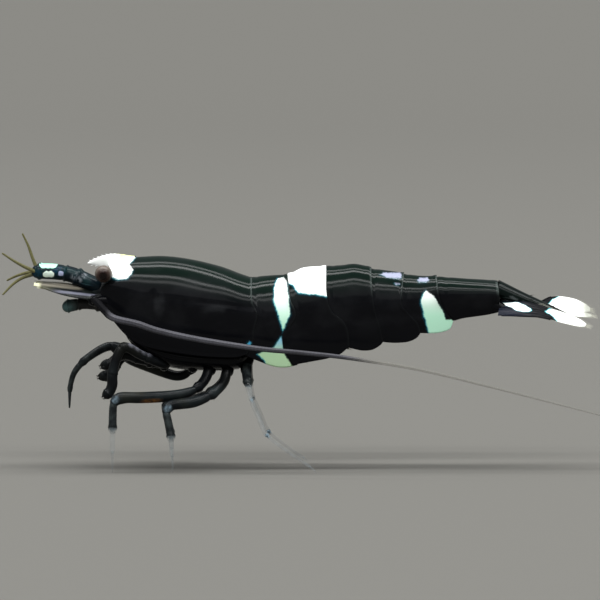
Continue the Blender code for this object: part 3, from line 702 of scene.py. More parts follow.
# %% Draw a ring along a row of places
def draw_out(bm, places, sides):
    """Extrudes a unit circle from one matrix to the next and caps both ends."""
    circle = bmesh.ops.create_circle(bm, cap_ends=False, segments=sides, radius=1.0, matrix=places[0])
    edges = list({edge for vertex in circle["verts"] for edge in vertex.link_edges})
    bmesh.ops.contextual_create(bm, geom=edges)
    for before, after in zip(places, places[1:]):
        made = bmesh.ops.extrude_edge_only(bm, edges=edges)["geom"]
        ring = [item for item in made if isinstance(item, bmesh.types.BMVert)]
        edges = [item for item in made if isinstance(item, bmesh.types.BMEdge)]
        edges = [edge for edge in edges if edge.verts[0] in ring and edge.verts[1] in ring]
        bmesh.ops.transform(bm, matrix=after @ before.inverted(), verts=ring)
    bmesh.ops.contextual_create(bm, geom=edges)


def ring_places(line, radii, up=(0, 0, 1), flat=1.0, heights=None):
    """Matrices for rings across a line: radii along the side, flat times that (or heights) along up.
    Up is one direction, or a list with one for each ring, which twists the row. A round row carries its
    side along from ring to ring, so it doesn't turn over where it runs straight down."""
    ups = up if isinstance(up, list) else [Vector(up)] * len(line)
    is_round = not isinstance(up, list) and flat == 1.0 and heights is None
    places, side = [], None
    for i, point in enumerate(line):
        ahead = (line[min(i + 1, len(line) - 1)] - line[max(i - 1, 0)]).normalized()
        if side is None or not is_round:
            side = ups[i].cross(ahead)
            side = side if side.length > 1e-3 else Vector((0, 1, 0)).cross(ahead)
        side = (side - ahead * side.dot(ahead)).normalized()
        over = ahead.cross(side)
        height = heights[i] if heights else radii[i] * flat
        turn = Matrix((side * radii[i], over * height, ahead)).transposed().to_4x4()
        places.append(Matrix.Translation(point) @ turn)
    return places

# %% Tubes and spikes
# How a tube's end rounds off: (depth, share of the radius), both in radii.
DOME = [(0.0, 0.25), (0.12, 0.55), (0.35, 0.82), (0.65, 0.96)]
DOME_DEPTH = 0.8


def tube(bm, line, radii, sides, flat=1.0):
    """A closed tube with round ends along a line of points."""
    first, last = (line[1] - line[0]).normalized(), (line[-1] - line[-2]).normalized()
    head = [line[0] - first * radii[0] * (DOME_DEPTH - depth) for depth, share in DOME]
    tail = [line[-1] + last * radii[-1] * (DOME_DEPTH - depth) for depth, share in reversed(DOME)]
    shares = [share for depth, share in DOME]
    opening = [radii[0] * share for share in shares]
    closing = [radii[-1] * share for share in reversed(shares)]
    places = ring_places([*head, *line, *tail], [*opening, *radii, *closing], flat=flat)
    draw_out(bm, places, sides)


def spike(bm, root, way, length, radius, tip_radius, sides=3):
    """A slender cone that grows from its root along a unit vector. Gives back its vertices."""
    where = Matrix.Translation(root + way * length / 2) @ way.to_track_quat("Z", "Y").to_matrix().to_4x4()
    cone = bmesh.ops.create_cone(bm, cap_ends=True, segments=sides, radius1=radius, radius2=tip_radius,
                                 depth=length, matrix=where)
    return cone["verts"]

# %% [markdown]
# ## Limbs in articles
# A shrimp's leg is a chain of stiff articles with soft joints between them. Each article swells
# towards its far end, where it holds the next one's root like a cup. So a limb here is one curve
# through its joints, cut into articles by shares of its length, and each article is a closed tube of
# its own with a narrow neck and a flared lip.


# %% Draw a limb from its curve
NECK, FLARE, ROUNDING = 0.22, 0.16, 0.20  # how much an article is thinner, wider and thinner again


def article(bm, line, start, end, root, lip, swell=0.0, sides=12):
    """One article on a stretch of a line (shares of its length), from root radius to lip radius."""
    count = len(line) - 1
    rows = max(6, round((end - start) * count))
    stretch, radii = [], []
    for i in range(rows + 1):
        share = i / rows
        at = (start + (end - start) * share) * count
        k = min(count - 1, int(at))
        stretch.append(line[k].lerp(line[k + 1], at - k))
        neck = 1 - NECK * (1 - ease(share, 0.0, 0.12))
        flare = 1 + FLARE * ease(share, 0.80, 0.93) - ROUNDING * ease(share, 0.95, 1.0)
        radii.append((root + (lip - root) * share) * neck * flare * (1 + swell * math.sin(math.pi * share)))
    tube(bm, stretch, radii, sides)


def limb(name, path, articles, material, slot, stands_for, paint, extra=None):
    """A limb whose articles are listed as (start, end, root radius, lip radius) and maybe a swell."""
    bm = bmesh.new()
    line = smooth_line(path, 60)
    for plan in articles:
        article(bm, line, *plan)
    if extra:
        extra(bm, line)
    make_piece(name, bm, material, stands_for, paint=paint)

# %% [markdown]
# ## Finishes of limbs and feelers
# The thick upper articles are blue-black, with paler knees. Further out the skin has hardly any
# pigment, and a leg is a clear, bluish tube. The feelers are clear too, with a faint olive or lilac
# cast and many short rings.

# %% Limb finishes
INK = (0.0050, 0.0062, 0.0074, 1)
STEEL = (0.016, 0.021, 0.022, 1)
OLIVE_BLACK = (0.017, 0.018, 0.012, 1)
# Lilac of the painted highlight on the near second arm.
HIGHLIGHT_LILAC = (0.17, 0.175, 0.21, 1)
KNEE = (0.20, 0.28, 0.34, 1)
GLASS = (0.26, 0.31, 0.33, 1)
SMOKY_GLASS = (0.12, 0.15, 0.165, 1)
DUSK, LIGHT_DUSK = (0.009, 0.011, 0.012, 1), (0.030, 0.037, 0.037, 1)
RUST = (0.16, 0.070, 0.018, 1)
PLAIN = {"knee": nowhere, "rust": nowhere, "streak": nowhere, "deep": nowhere}  # no marks at all

dark_limb, wire = finish("dark_limb")
mottle, spots = wire.noise(1.0, 2.0), wire.noise(6.0, 2.0)
base = mottle.rise(0.35, 0.75).blend(INK, STEEL)
base = (wire.noise(0.45, 2.0).rise(0.48, 0.68) * 0.7).blend(base, OLIVE_BLACK)
base = (wire.attribute("knee") * (0.25 + spots.rise(0.25, 0.75) * 0.6)).blend(base, KNEE)
# The streak is a painted highlight along the top of the near second arm.
base = (wire.attribute("streak") * 0.8).blend(base, HIGHLIGHT_LILAC)
# Painted shade: blacker where the thighs meet the body under the carapace; the claws are blacker too, all
# but their painted highlight.
base = (wire.attribute("deep") * 0.8).blend(base, BLACK)
base = (wire.attribute("rust") * spots.rise(0.25, 0.6)).blend(base, RUST)
feed(dark_limb, base_color=base, normal=wire.bump(mottle, 0.02, 0.3))

clear_limb, wire = finish("clear_limb", roughness=0.16)
mottle, dusk, knee = wire.noise(2.5, 3.0), wire.attribute("dusk"), wire.attribute("knee")
base = mottle.rise(0.4, 0.7).blend(GLASS, SMOKY_GLASS)
base = dusk.blend(base, mottle.rise(0.35, 0.75).blend(DUSK, LIGHT_DUSK))
base = knee.blend(base, KNEE)
feed(clear_limb, base_color=base, alpha=0.12 + dusk.most(knee) * 0.88, normal=wire.bump(mottle, 0.006, 0.3))

# %% Feeler finishes
OLIVE, STRAW = (0.085, 0.078, 0.026, 1), (0.17, 0.165, 0.075, 1)
SMOKE, MIST = (0.048, 0.048, 0.056, 1), (0.082, 0.082, 0.096, 1)
THIN_FEELER = (0.22, 0.215, 0.19, 1)


def feeler_finish(name, dark, light, alpha):
    """A feeler is dark and dull at its root (dusk) and pale and nearly clear where it is thin."""
    material, wire = finish(name)
    bands, thin, dusk = wire.attribute("ring").rise(0.3, 0.7), wire.attribute("thin"), wire.attribute("dusk")
    base = (0.25 + wire.noise(0.6, 2.0).rise(0.35, 0.7) * 0.55 + bands * 0.2).blend(light, dark)
    base = thin.blend(dusk.blend(base, BLACK), THIN_FEELER)
    feed(material, base_color=base, alpha=alpha - thin * 0.50, roughness=0.35 + dusk * 0.4)
    return material


olive_feeler = feeler_finish("olive_feeler", OLIVE, STRAW, 0.85)
lilac_feeler = feeler_finish("lilac_feeler", SMOKE, MIST, 0.9)

# %% [markdown]
# ## Walking legs
# Five pairs of legs hang from the thorax. The first two end in small claws and reach forward. The
# other three are for walking: a strong thigh, a short knee piece, a long shin and a short claw. Their
# curves repeat the solid legs' middle lines, thinner towards the claw. Five of the six stand on the
# floor, and the right one in front is lifted.

# %% Curves of the walking legs
WALKING_LEGS = {
    "leg_3_left": [
        (-5.5, -0.7, 6.0), (-5.62, -0.95, 5.55), (-5.83, -1.3, 5.06), (-6.28, -1.7, 4.62),
        (-6.9, -2.05, 4.38), (-7.93, -2.4, 4.24), (-9.3, -2.78, 4.2), (-10.4, -3.02, 4.2),
        (-10.84, -3.08, 3.96), (-10.92, -3.15, 3.35), (-10.93, -3.32, 2.38), (-10.94, -3.48, 1.2),
        (-10.94, -3.55, 0.06)],
    "leg_3_right": [
        (-5.9, 0.72, 6.05), (-6.2, 1.08, 5.84), (-6.46, 1.34, 5.62), (-6.74, 1.52, 5.36),
        (-7.05, 1.68, 5.14), (-7.48, 1.8, 5.06), (-7.98, 1.92, 5.17), (-9.03, 2.15, 5.54),
        (-10.1, 2.33, 5.96), (-10.62, 2.4, 6.36), (-11.14, 2.46, 6.7), (-11.7, 2.5, 6.6),
        (-12.52, 2.52, 6.1), (-13.0, 2.52, 5.68), (-13.38, 2.52, 5.18), (-13.56, 2.5, 4.62),
        (-13.63, 2.49, 4.12), (-13.65, 2.46, 3.2)],
    "leg_4_left": [
        (-4.5, -0.7, 5.9), (-4.6, -0.95, 5.44), (-4.72, -1.25, 5.0), (-5.04, -1.65, 4.6),
        (-5.52, -2.05, 4.25), (-6.34, -2.45, 3.93), (-7.15, -2.75, 3.84), (-7.69, -2.93, 3.76),
        (-7.94, -3.0, 3.46), (-7.83, -3.12, 2.88), (-7.7, -3.25, 2.24), (-7.66, -3.34, 1.93),
        (-7.6, -3.5, 1.0), (-7.56, -3.57, 0.06)],
    "leg_4_right": [
        (-4.5, 0.7, 5.9), (-4.64, 0.95, 5.36), (-4.78, 1.25, 4.88), (-5.12, 1.65, 4.44),
        (-5.68, 2.05, 4.02), (-6.58, 2.45, 3.62), (-7.45, 2.75, 3.5), (-7.94, 2.93, 3.4),
        (-8.15, 3.0, 3.08), (-8.06, 3.12, 2.52), (-7.93, 3.25, 1.88), (-7.88, 3.34, 1.58),
        (-7.84, 3.46, 0.75), (-7.8, 3.52, 0.06)],
    "leg_5_left": [
        (-3.45, -0.7, 5.95), (-3.45, -1.0, 5.44), (-3.38, -1.5, 4.9), (-3.25, -2.0, 4.36),
        (-3.17, -2.3, 3.99), (-2.74, -2.64, 3.05), (-2.29, -3.0, 2.1), (-1.05, -3.32, 1.15),
        (0.12, -3.5, 0.38), (0.45, -3.56, 0.06)],
    "leg_5_right": [
        (-3.45, 0.7, 5.95), (-3.43, 1.0, 5.35), (-3.36, 1.5, 4.72), (-3.22, 2.0, 4.12), (-3.12, 2.3, 3.71),
        (-2.7, 2.64, 2.73), (-2.25, 3.0, 1.76), (-1.15, 3.32, 0.82), (-0.25, 3.48, 0.2),
        (-0.05, 3.5, 0.06)],
}
# Joints as indices into those points, then articles between them as (root radius, lip radius, swell).
LEG_JOINTS = {
    "leg_3_left": (3, 8, 10, 11), "leg_3_right": (3, 10, 13, 16), "leg_4_left": (4, 8, 11, 12),
    "leg_4_right": (4, 8, 11, 12), "leg_5_left": (2, 4, 6, 8), "leg_5_right": (2, 4, 6, 8),
}
LEG_RADII = {
    "leg_3_left": [(0.3, 0.28), (0.26, 0.29, 0.18), (0.22, 0.24), (0.17, 0.14), (0.1, 0.03)],
    "leg_3_right": [(0.28, 0.27), (0.26, 0.31, 0.1), (0.27, 0.21), (0.19, 0.14), (0.11, 0.05)],
    "leg_4_left": [(0.28, 0.28), (0.25, 0.27, 0.18), (0.22, 0.24), (0.16, 0.13), (0.09, 0.03)],
    "leg_5_left": [(0.31, 0.26), (0.22, 0.13), (0.15, 0.13, 0.1), (0.1, 0.08), (0.07, 0.03)],
}
# Heights at which the legs turn clear.
DARK_DOWN_TO = {
    "leg_3_left": 2.42, "leg_3_right": 2.9, "leg_4_left": 1.98, "leg_4_right": 1.62, "leg_5_left": 4.72,
    "leg_5_right": 4.55,
}

# %% Build the walking legs
def near_points(points, reach, stretch=(1, 1, 1)):
    """A painter: 1 at any of the points, fading to 0 at the reach. A stretch above 1 shortens it."""

    def paint(place):
        nearest = min(math.hypot(*(gap * s for gap, s in zip(place - Vector(p), stretch))) for p in points)
        return 1 - ease(nearest, reach * 0.4, reach)

    return paint


def share_at(line, point):
    """Share of a line's length at which it passes a point."""
    return min(range(len(line)), key=lambda k: (line[k] - Vector(point)).length) / (len(line) - 1)


OVERLAP = 0.005  # how far an article starts inside the one before it, as a share of the leg
RUST_SPOT = (-8.80, -2.80, 3.97)


def walking_leg(node, path):
    """A thigh of two articles and a shin of three. The last pair is in the clear finish all along, and
    only the lifted leg has no pale spots."""
    line = smooth_line(path, 240)
    joints = [0.0, *(share_at(line, path[k]) for k in LEG_JOINTS[node]), 1.0]
    radii = LEG_RADII.get(node, LEG_RADII[node.replace("right", "left")])
    articles = [(max(0.0, a - OVERLAP), b, *r) for a, b, r in zip(joints, joints[1:], radii)]
    knee, ankle = (Vector(path[k]) for k in LEG_JOINTS[node][1:3])
    side = 1 if node.endswith("right") else -1
    spots = [knee + Vector((0.02, side * 0.22, 0.10)), knee + Vector((0.16, side * 0.22, 0.16))]
    lifted = node == "leg_3_right"
    clear_from = DARK_DOWN_TO[node]
    paint = {
        **PLAIN,
        "knee": nowhere if lifted else near_points(spots, 0.22),
        "rust": near_points([RUST_SPOT], 0.72, (1, 1, 3.4)) if node == "leg_3_left" else nowhere,
        # Painted shade where the thigh meets the body, under the carapace.
        "deep": lambda place: ease(place.z, 4.5, 5.3) * ease(place.x, -8.5, -7.5),
        "dusk": lambda place: ease(place.z, clear_from - 0.05, clear_from + 0.12)}
    thigh_skin = (clear_limb, "clear_limb") if node.startswith("leg_5") else (dark_limb, "dark_limb")
    limb(f"{node}_thigh", path, articles[:2], *thigh_skin, [f"{node}_upper"], paint)
    if not lifted:
        paint["knee"] = near_points([spots[0], ankle], 0.20)
    limb(f"{node}_shin", path, articles[2:], clear_limb, "clear_limb", [f"{node}_lower"], paint)


for node, path in WALKING_LEGS.items():
    walking_leg(node, path)
print("walking legs:", len(WALKING_LEGS))

# %% [markdown]
# ## Clawed legs
# The first two pairs of legs end in small scissors for picking food, with a brush of bristles on each
# finger. A claw is a stout palm with two fingers, and in life one of them is hinged.

# %% Curves of the clawed legs
CLAW_LEGS = {
    "cheliped_1_left": [
        (-8.8, -0.62, 6.05), (-9.5, -0.92, 6.2), (-10.2, -1.12, 6.46), (-10.7, -1.2, 6.36),
        (-11.04, -1.24, 6.1), (-11.28, -1.26, 5.96), (-11.5, -1.27, 5.88)],
    "cheliped_1_right": [
        (-8.8, 0.62, 6.05), (-9.5, 0.95, 6.22), (-10.2, 1.1, 6.5), (-10.62, 1.16, 6.4), (-10.92, 1.2, 6.08),
        (-11.16, 1.22, 5.82), (-11.36, 1.22, 5.64)],
    "cheliped_2_left": [
        (-7.95, -0.8, 5.86), (-8.4, -1.15, 6.04), (-8.85, -1.36, 6.24), (-9.5, -1.62, 6.56),
        (-10.05, -1.8, 6.9), (-10.38, -1.88, 6.94), (-10.64, -1.93, 6.62), (-10.88, -1.97, 5.98),
        (-11.0, -2.0, 5.34), (-11.0, -2.0, 4.86), (-11.14, -2.02, 4.5), (-11.34, -2.04, 4.26),
        (-11.54, -2.05, 4.1)],
    "cheliped_2_right": [
        (-7.95, 0.8, 5.86), (-8.6, 1.3, 5.8), (-9.45, 1.6, 5.98), (-10.15, 1.7, 6.2), (-10.6, 1.72, 6.1),
        (-10.9, 1.69, 5.76), (-11.1, 1.62, 5.4), (-11.34, 1.56, 5.18), (-11.62, 1.5, 5.06),
        (-11.9, 1.46, 5.02)],
}
# Articles of the arm and of the hand. The short first pair is all hand.
CLAW_ARTICLES = {
    "cheliped_1": ([], [(0.0, 0.34, 0.25, 0.26), (0.31, 0.60, 0.26, 0.27), (0.57, 0.94, 0.27, 0.27)]),
    "cheliped_2": (
        [(0.0, 0.24, 0.26, 0.27), (0.22, 0.50, 0.27, 0.28)],
        [(0.47, 0.76, 0.28, 0.28), (0.73, 0.95, 0.31, 0.30)]),
}
FINGER_RADII = [0.16, 0.165, 0.165, 0.16, 0.15, 0.14, 0.11]
BRUSH_BRISTLES = 9  # on each finger

# %% Fingers, and all the clawed legs
FINGER_LENGTH = 0.36
PALM_END = 0.92  # where the fingers start, as a share of the leg's length


def fingers(bm, line):
    """Two blunt, curved fingers in front of the palm, and a brush of bristles on each."""
    palm, tip = line[round((len(line) - 1) * PALM_END)], line[-1]
    ahead, across = (tip - palm).normalized(), Vector((0, 1, 0))
    over = across.cross(ahead).normalized()
    for turn in (-1, 1):
        row = []
        for i in range(7):
            share = i / 6
            gap = 0.12 + 0.03 * math.sin(math.pi * min(1.0, share * 1.1)) - 0.05 * share
            row.append(palm + ahead * FINGER_LENGTH * share + over * turn * gap)
        tube(bm, row, FINGER_RADII, 10)
        for i in range(BRUSH_BRISTLES):
            angle = math.tau * i / BRUSH_BRISTLES
            lean = (ahead + 0.35 * (over * math.cos(angle) + across * math.sin(angle))).normalized()
            spike(bm, row[-1] + lean * 0.01, lean, 0.18, 0.016, 0.003, 4)


# A painted highlight along the top of the near second arm, where the lamps light it.
ARM_HIGHLIGHT = [(-9.95, -1.86, 7.12), (-9.6, -1.76, 6.94), (-9.25, -1.62, 6.74), (-8.95, -1.5, 6.58)]
for node, path in CLAW_LEGS.items():
    arm, hand = CLAW_ARTICLES[node.rsplit("_", 1)[0]]
    streak = near_points(ARM_HIGHLIGHT, 0.30) if node == "cheliped_2_left" else nowhere
    # All of a claw but the painted highlight is made blacker.
    paint = {**PLAIN, "streak": streak, "deep": lambda place, pale=streak: 0.8 * (1 - pale(place))}
    if arm:
        limb(f"{node}_arm", path, arm, dark_limb, "dark_limb", [f"{node}_upper"], paint)
    solid = f"{node}_lower" if arm else node
    limb(f"{node}_hand", path, hand, dark_limb, "dark_limb", [solid], paint, fingers)
print("clawed legs:", len(CLAW_LEGS))

# %% [markdown]
# ## The chest between the legs
# Under the carapace lies the chest, where each leg has its hip. In life it is a row of thick rings.
# One loft through rounded sections closes the underside, and a pair of stout hips is set on it for
# each pair of legs.

# %% Chest and hips
CHEST_LOW = [
    (-10.4, 7.44), (-9.8, 6.9), (-9.22, 6.46), (-8.1, 5.86), (-7.4, 5.68), (-6.68, 5.6), (-4.98, 5.56),
    (-3.3, 5.7)]
CHEST_ROWS = 24
# Hips of the right side: middle and radius.
HIPS = [
    (-8.95, 0.5, 6.26, 0.3), (-8.1, 0.62, 6.1, 0.34), (-6.5, 0.62, 6.02, 0.36), (-5.52, 0.66, 5.88, 0.42),
    (-4.52, 0.66, 5.8, 0.41), (-3.48, 0.66, 5.88, 0.38)]
carapace_low = table(PLATES["carapace"]["low"])
ACROSS = Matrix(((0, 0, 1), (1, 0, 0), (0, 1, 0))).to_4x4()  # stands a flat ring across the trunk
SIDES = ((-1, "left"), (1, "right"))  # the sign of Y on each side


def mirrored(points, side):
    """Points given for the right side, on the side asked for."""
    return [(x, side * y, z) for x, y, z in points]


def upright_ring(x, z, half, depth):
    """A matrix for a ring across the trunk, by its half breadth and half height."""
    return Matrix.Translation((x, 0, z)) @ ACROSS @ Matrix.Diagonal((half, depth, 1, 1))


def chest():
    bm = bmesh.new()
    places = []
    for i, p in enumerate(side_line(CHEST_LOW, CHEST_ROWS)):
        top = carapace_low(p.x) + 0.45
        closing = [min(1.0, 0.3 + ease(rows, -1, 3)) for rows in (i, CHEST_ROWS - i)]
        end = closing[0] * closing[1]
        half = half_breadth(p.x) * 0.80
        depth = (top - p.z) / 2 + 0.05
        places.append(upright_ring(p.x, (top + p.z) / 2, half * end, depth * end))
    draw_out(bm, places, 28)
    for x, y, z, radius in HIPS:
        hip = [(x + 0.05, y - 0.25, z + 0.35), (x, y, z), (x - 0.02, y + 0.10, z - 0.34)]
        for side, word in SIDES:
            tube(bm, smooth_line(mirrored(hip, side), 8), [radius * (1.05 - 0.03 * i) for i in range(9)], 14)
    make_piece("chest_skin", bm, shell, ["thorax"], paint=shell_paint(back=0.0))


chest()
print("chest rings:", CHEST_ROWS + 1, "and hips:", 2 * len(HIPS))

# %% [markdown]
# ## The belly skin
# Behind the chest the side plates hang down like curtains, with a soft belly between them. It is a
# strip of skin under the hollow's ceiling, waved by a low ridge in front of each pair of swimming
# legs. Under the last plate it comes down to the plate's edges and closes it to a tube.

# %% Belly skin
# Per pair of swimming legs: X of the root, length, and how far they hang down, in degrees.
SWIMMERETS = [(-1.95, 2.1, 34), (0.35, 2.1, 22), (2.60, 1.9, 14), (4.55, 1.7, 14), (6.35, 1.45, 12)]
BELLY_FROM, BELLY_LENGTH = -3.6, 14.1
last_plate_low = table(PLATES["pleonite_6"]["low"])


def belly():
    bm = bmesh.new()
    bmesh.ops.create_grid(bm, x_segments=110, y_segments=24, size=0.5)
    for vertex in bm.verts:
        x, across = BELLY_FROM + (vertex.co.x + 0.5) * BELLY_LENGTH, vertex.co.y * 2
        ridge = 0.12 * sum(bell(x - root + 0.35, 0.22) for root, length, pitch in SWIMMERETS)
        hollow = hollow_ceiling(x) - ridge - 0.25 * across**2 - 0.35 * (1 - ease(x, BELLY_FROM, -2.9))
        closed = last_plate_low(x) + 0.10 - 0.16 * (1 - across**2)
        tube_share = ease(x, 7.4, 8.3)
        y = across * half_breadth(x) * (0.93 - 0.06 * tube_share)
        vertex.co = rolled(Vector((x, y, hollow + (closed - hollow) * tube_share)))
    thicken(make_piece("belly_skin", bm, dark_limb, paint=PLAIN), 0.08)


belly()

# %% [markdown]
# ## Swimming legs
# Five pairs of paddles lie folded back under the tail. Each has a short stalk and two leaf-like
# blades with a fringe. A blade is drawn out like a limb, with rings that are wide and thin.


# %% A blade from root to tip
def blade(bm, line, half_breadths, half_thickness, up=(0, 0, 1), sides=24):
    """A thin leaf along a line, closed at both ends."""
    heights = [min(half_thickness, half * 0.8) for half in half_breadths]
    draw_out(bm, ring_places(line, half_breadths, up, heights=heights), sides)


def leaf(share, full, root, tip, widest=0.6):
    """Half breadth of a leaf at a share of its length. Root and tip are shares of the full breadth."""
    rise = root + (1 - root) * ease(share, 0.0, widest)
    fall = 1 - (1 - tip) * ease(share, widest, 1.02) ** 1.6
    return full * rise * fall


def straight(root, tip, rows):
    return [Vector(root).lerp(Vector(tip), i / rows) for i in range(rows + 1)]

# %% Bristles
BAKE_PATCH = 0.003  # side of the small square that each bristle takes on its fringe's map


def bristle(bm, root, way, length, radius, spot=None):
    """One tapering bristle. In a fringe, spot is its root's place on the skin, as shares from 0 to 1."""
    made = spike(bm, root, way.normalized(), length, radius, radius * 0.2)
    if spot:
        bake = bm.loops.layers.uv["OFBake"]
        for face in {face for vertex in made for face in vertex.link_faces}:
            for k, loop in enumerate(face.loops):
                corner = Vector((k % 2, k // 2 % 2)) * BAKE_PATCH
                loop[bake].uv = Vector([clamp(share) for share in spot]) * (1 - BAKE_PATCH) + corner


def new_fringe():
    bm = bmesh.new()
    bm.loops.layers.uv.new("OFBake")
    return bm

# %% Paddles under the tail
BRISTLE_GREY = (0.42, 0.42, 0.36, 1)
seta, wire = finish("bristle", roughness=0.35, base_color=BRISTLE_GREY, alpha=0.5)
paddle, wire = finish("paddle", roughness=0.25)
feed(paddle, base_color=wire.noise(1.5, 3.0).rise(0.4, 0.7).blend(INK, STEEL))

STALK_RADII = [0.24, 0.25, 0.25, 0.24, 0.23, 0.22, 0.20]
LEAVES = [(0.05, -0.10, 0.30), (-0.10, 0.12, 0.36)]  # (lift, push outwards, half breadth)
LEAF_FROM, LEAF_LENGTH = 0.34, 0.66  # shares of a paddle's length
LEAF_ROWS, LEAF_BRISTLES = 14, 26


def swimmeret(name, side, x, length, pitch):
    low, high = (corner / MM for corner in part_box(name))
    turn = math.radians(pitch)
    ahead = Vector((math.cos(turn), 0, -math.sin(turn)))
    root = rolled(Vector((x, side * abs((low.y + high.y) / 2), hollow_ceiling(x) - 0.45)))
    bm, fringe = bmesh.new(), new_fringe()
    tube(bm, straight(root - ahead * 0.15, root + ahead * length * 0.38, 6), STALK_RADII, 12, flat=0.7)
    for lift, push, full in LEAVES:
        start = root + ahead * length * LEAF_FROM + Vector((0, side * push, lift))
        line = straight(start, start + ahead * length * LEAF_LENGTH, LEAF_ROWS)
        blade(bm, line, [leaf(i / LEAF_ROWS, full, 0.4, 0.3) for i in range(LEAF_ROWS + 1)], 0.05)
        for i in range(LEAF_BRISTLES):
            share = 0.2 + 0.8 * i / (LEAF_BRISTLES - 1)
            middle = start + ahead * length * LEAF_LENGTH * share
            for edge in (-1, 1):
                out = Vector((0, edge, 0))
                spot = middle + out * leaf(share, full, 0.4, 0.3) * 0.95
                bristle(fringe, spot, out + ahead * (0.9 + share), 0.28, 0.010, (share, 0.5 + edge * full))
    make_piece(f"{name}_paddle", bm, paddle, [name])
    make_piece(f"{name}_fringe", fringe, seta)


for number, plan in enumerate(SWIMMERETS, 1):
    for side, word in SIDES:
        swimmeret(f"swimmeret_{number}_{word}", side, *plan)
print("paddles:", 2 * len(SWIMMERETS))

# %% [markdown]
# ## The tail fan
# The telson is a stiff, narrow blade in the middle, and two leaf-like blades spread on each side of
# it. Their roots are black, then each is opaque white, and the last stretch is clear, with a fringe.
# The blades are so thin that they overlap like the leaves of a hand fan.

# %% Fan finishes
CLEAR_WHITE = (0.60, 0.62, 0.54, 1)
BLUE_BLACK = (0.004, 0.006, 0.014, 1)
SPOT_AT, SPOT_OFF = 0.175, -0.22  # middle of the white spot near an outer blade's root
fin, wire = finish("fan_blade")
along, off = wire.attribute("along"), wire.attribute("off")
ragged = (wire.noise(1.8, 3.0) - 0.5) * 0.12
late = wire.attribute("late") * (0.06 + off.most(0.0) * 0.09)
white = (along + ragged - off.unsigned() * 0.05 - late).rise(0.455, 0.505)
spot_along = (along - SPOT_AT) * 6.2
spot_off = (off - SPOT_OFF + (0.17 - along) * 2.4) * (1.9 + (0.17 - along).most(0.0) * 22.0)
spot_edge = spot_along * spot_along + spot_off * spot_off + (wire.noise(3.0) - 0.5) * 0.5
white = white.most((1 - spot_edge.rise(0.75, 1.15)) * wire.attribute("spotted"))
tip = (along + ragged * 0.5).rise(0.84, 0.97)
base = (1 - along.rise(0.1, 0.4)).blend(BLACK, BLUE_BLACK)
base = white.rise(0.0, 0.35).blend(base, CYAN)
base = white.rise(0.35, 0.9).blend(base, WHITE)
base = tip.blend(base, CLEAR_WHITE)
feed(fin, base_color=base, alpha=1 - tip * 0.62, normal=wire.bump(wire.attribute("rib"), 0.02, 0.4))

# %% Plan of the fan's blades
# Per blade: half breadth, tilt at the root and at the tip (degrees, outer edge of the left side down),
# share of the breadth at the root, and the middle line as the rolled tail holds it.
FAN = {
    "endopod_left": (
        0.44, 28, 14, 0.85, [
            (10.8, -0.5, 9.24), (12.1, -0.64, 9.06), (13.3, -0.78, 8.72), (14.2, -0.9, 8.5),
            (14.9, -1.0, 8.34), (15.45, -1.06, 8.2)]),
    "exopod_left": (
        0.72, 38, 18, 0.86, [
            (10.8, -0.8, 9.08), (11.92, -1.06, 9.09), (12.9, -1.28, 8.99), (13.4, -1.4, 8.87),
            (14.2, -1.6, 8.65), (14.8, -1.74, 8.47), (15.24, -1.84, 8.32), (15.6, -1.92, 8.2)]),
    "endopod_right": (
        0.68, 10, 17, 0.7, [
            (10.8, 0.4, 9.4), (12.2, 0.62, 9.22), (13.4, 0.84, 8.98), (14.5, 1.02, 8.84), (15.3, 1.14, 8.7),
            (16.12, 1.26, 8.54)]),
    "exopod_right": (
        0.88, 7, 27, 0.24, [
            (10.85, 0.76, 9.24), (12.0, 1.08, 9.2), (13.3, 1.44, 9.12), (14.25, 1.7, 9.19),
            (15.1, 1.92, 9.12), (15.8, 2.06, 8.95), (16.1, 2.12, 8.84)]),
}
FAN_THICKNESS = 0.05
FAN_ROWS = 44
TWIST_FROM, TWIST_TO = 11.8, 13.8  # X between which a blade's tilt changes
SEAM_SHARES = (-0.9, -0.4, 0.1, 0.6, 0.95)  # places of the seam across a blade
RIBS = 26  # waves of the fine ribs, in radians per millimetre
EDGE_BRISTLES, TIP_BRISTLES = 90, 17
HINGE_AT = 0.62  # where the outer blade has its cross seam, as a share of its length
SLIM_ROOT = {"exopod_right": 0.36}  # share of the length from which a blade starts to widen
FAN_SPAN = 5.3  # the length the colours are measured on, the same for every blade
LATE_WHITE = {"exopod_right": 1.0, "exopod_left": 0.4}  # blades whose white starts further out


# %% One blade of the fan
def fan_half(share, full, root, slim):
    """Half breadth of a fan blade: it widens to its second half and ends in a round tip."""
    widening = root + (1 - root) * ease(share, slim, 0.60 + 0.2 * slim)
    past = max(0.0, (share - 0.64) / 0.36)
    return full * widening * math.sqrt(max(0.0, 1 - past**2 * 0.93))


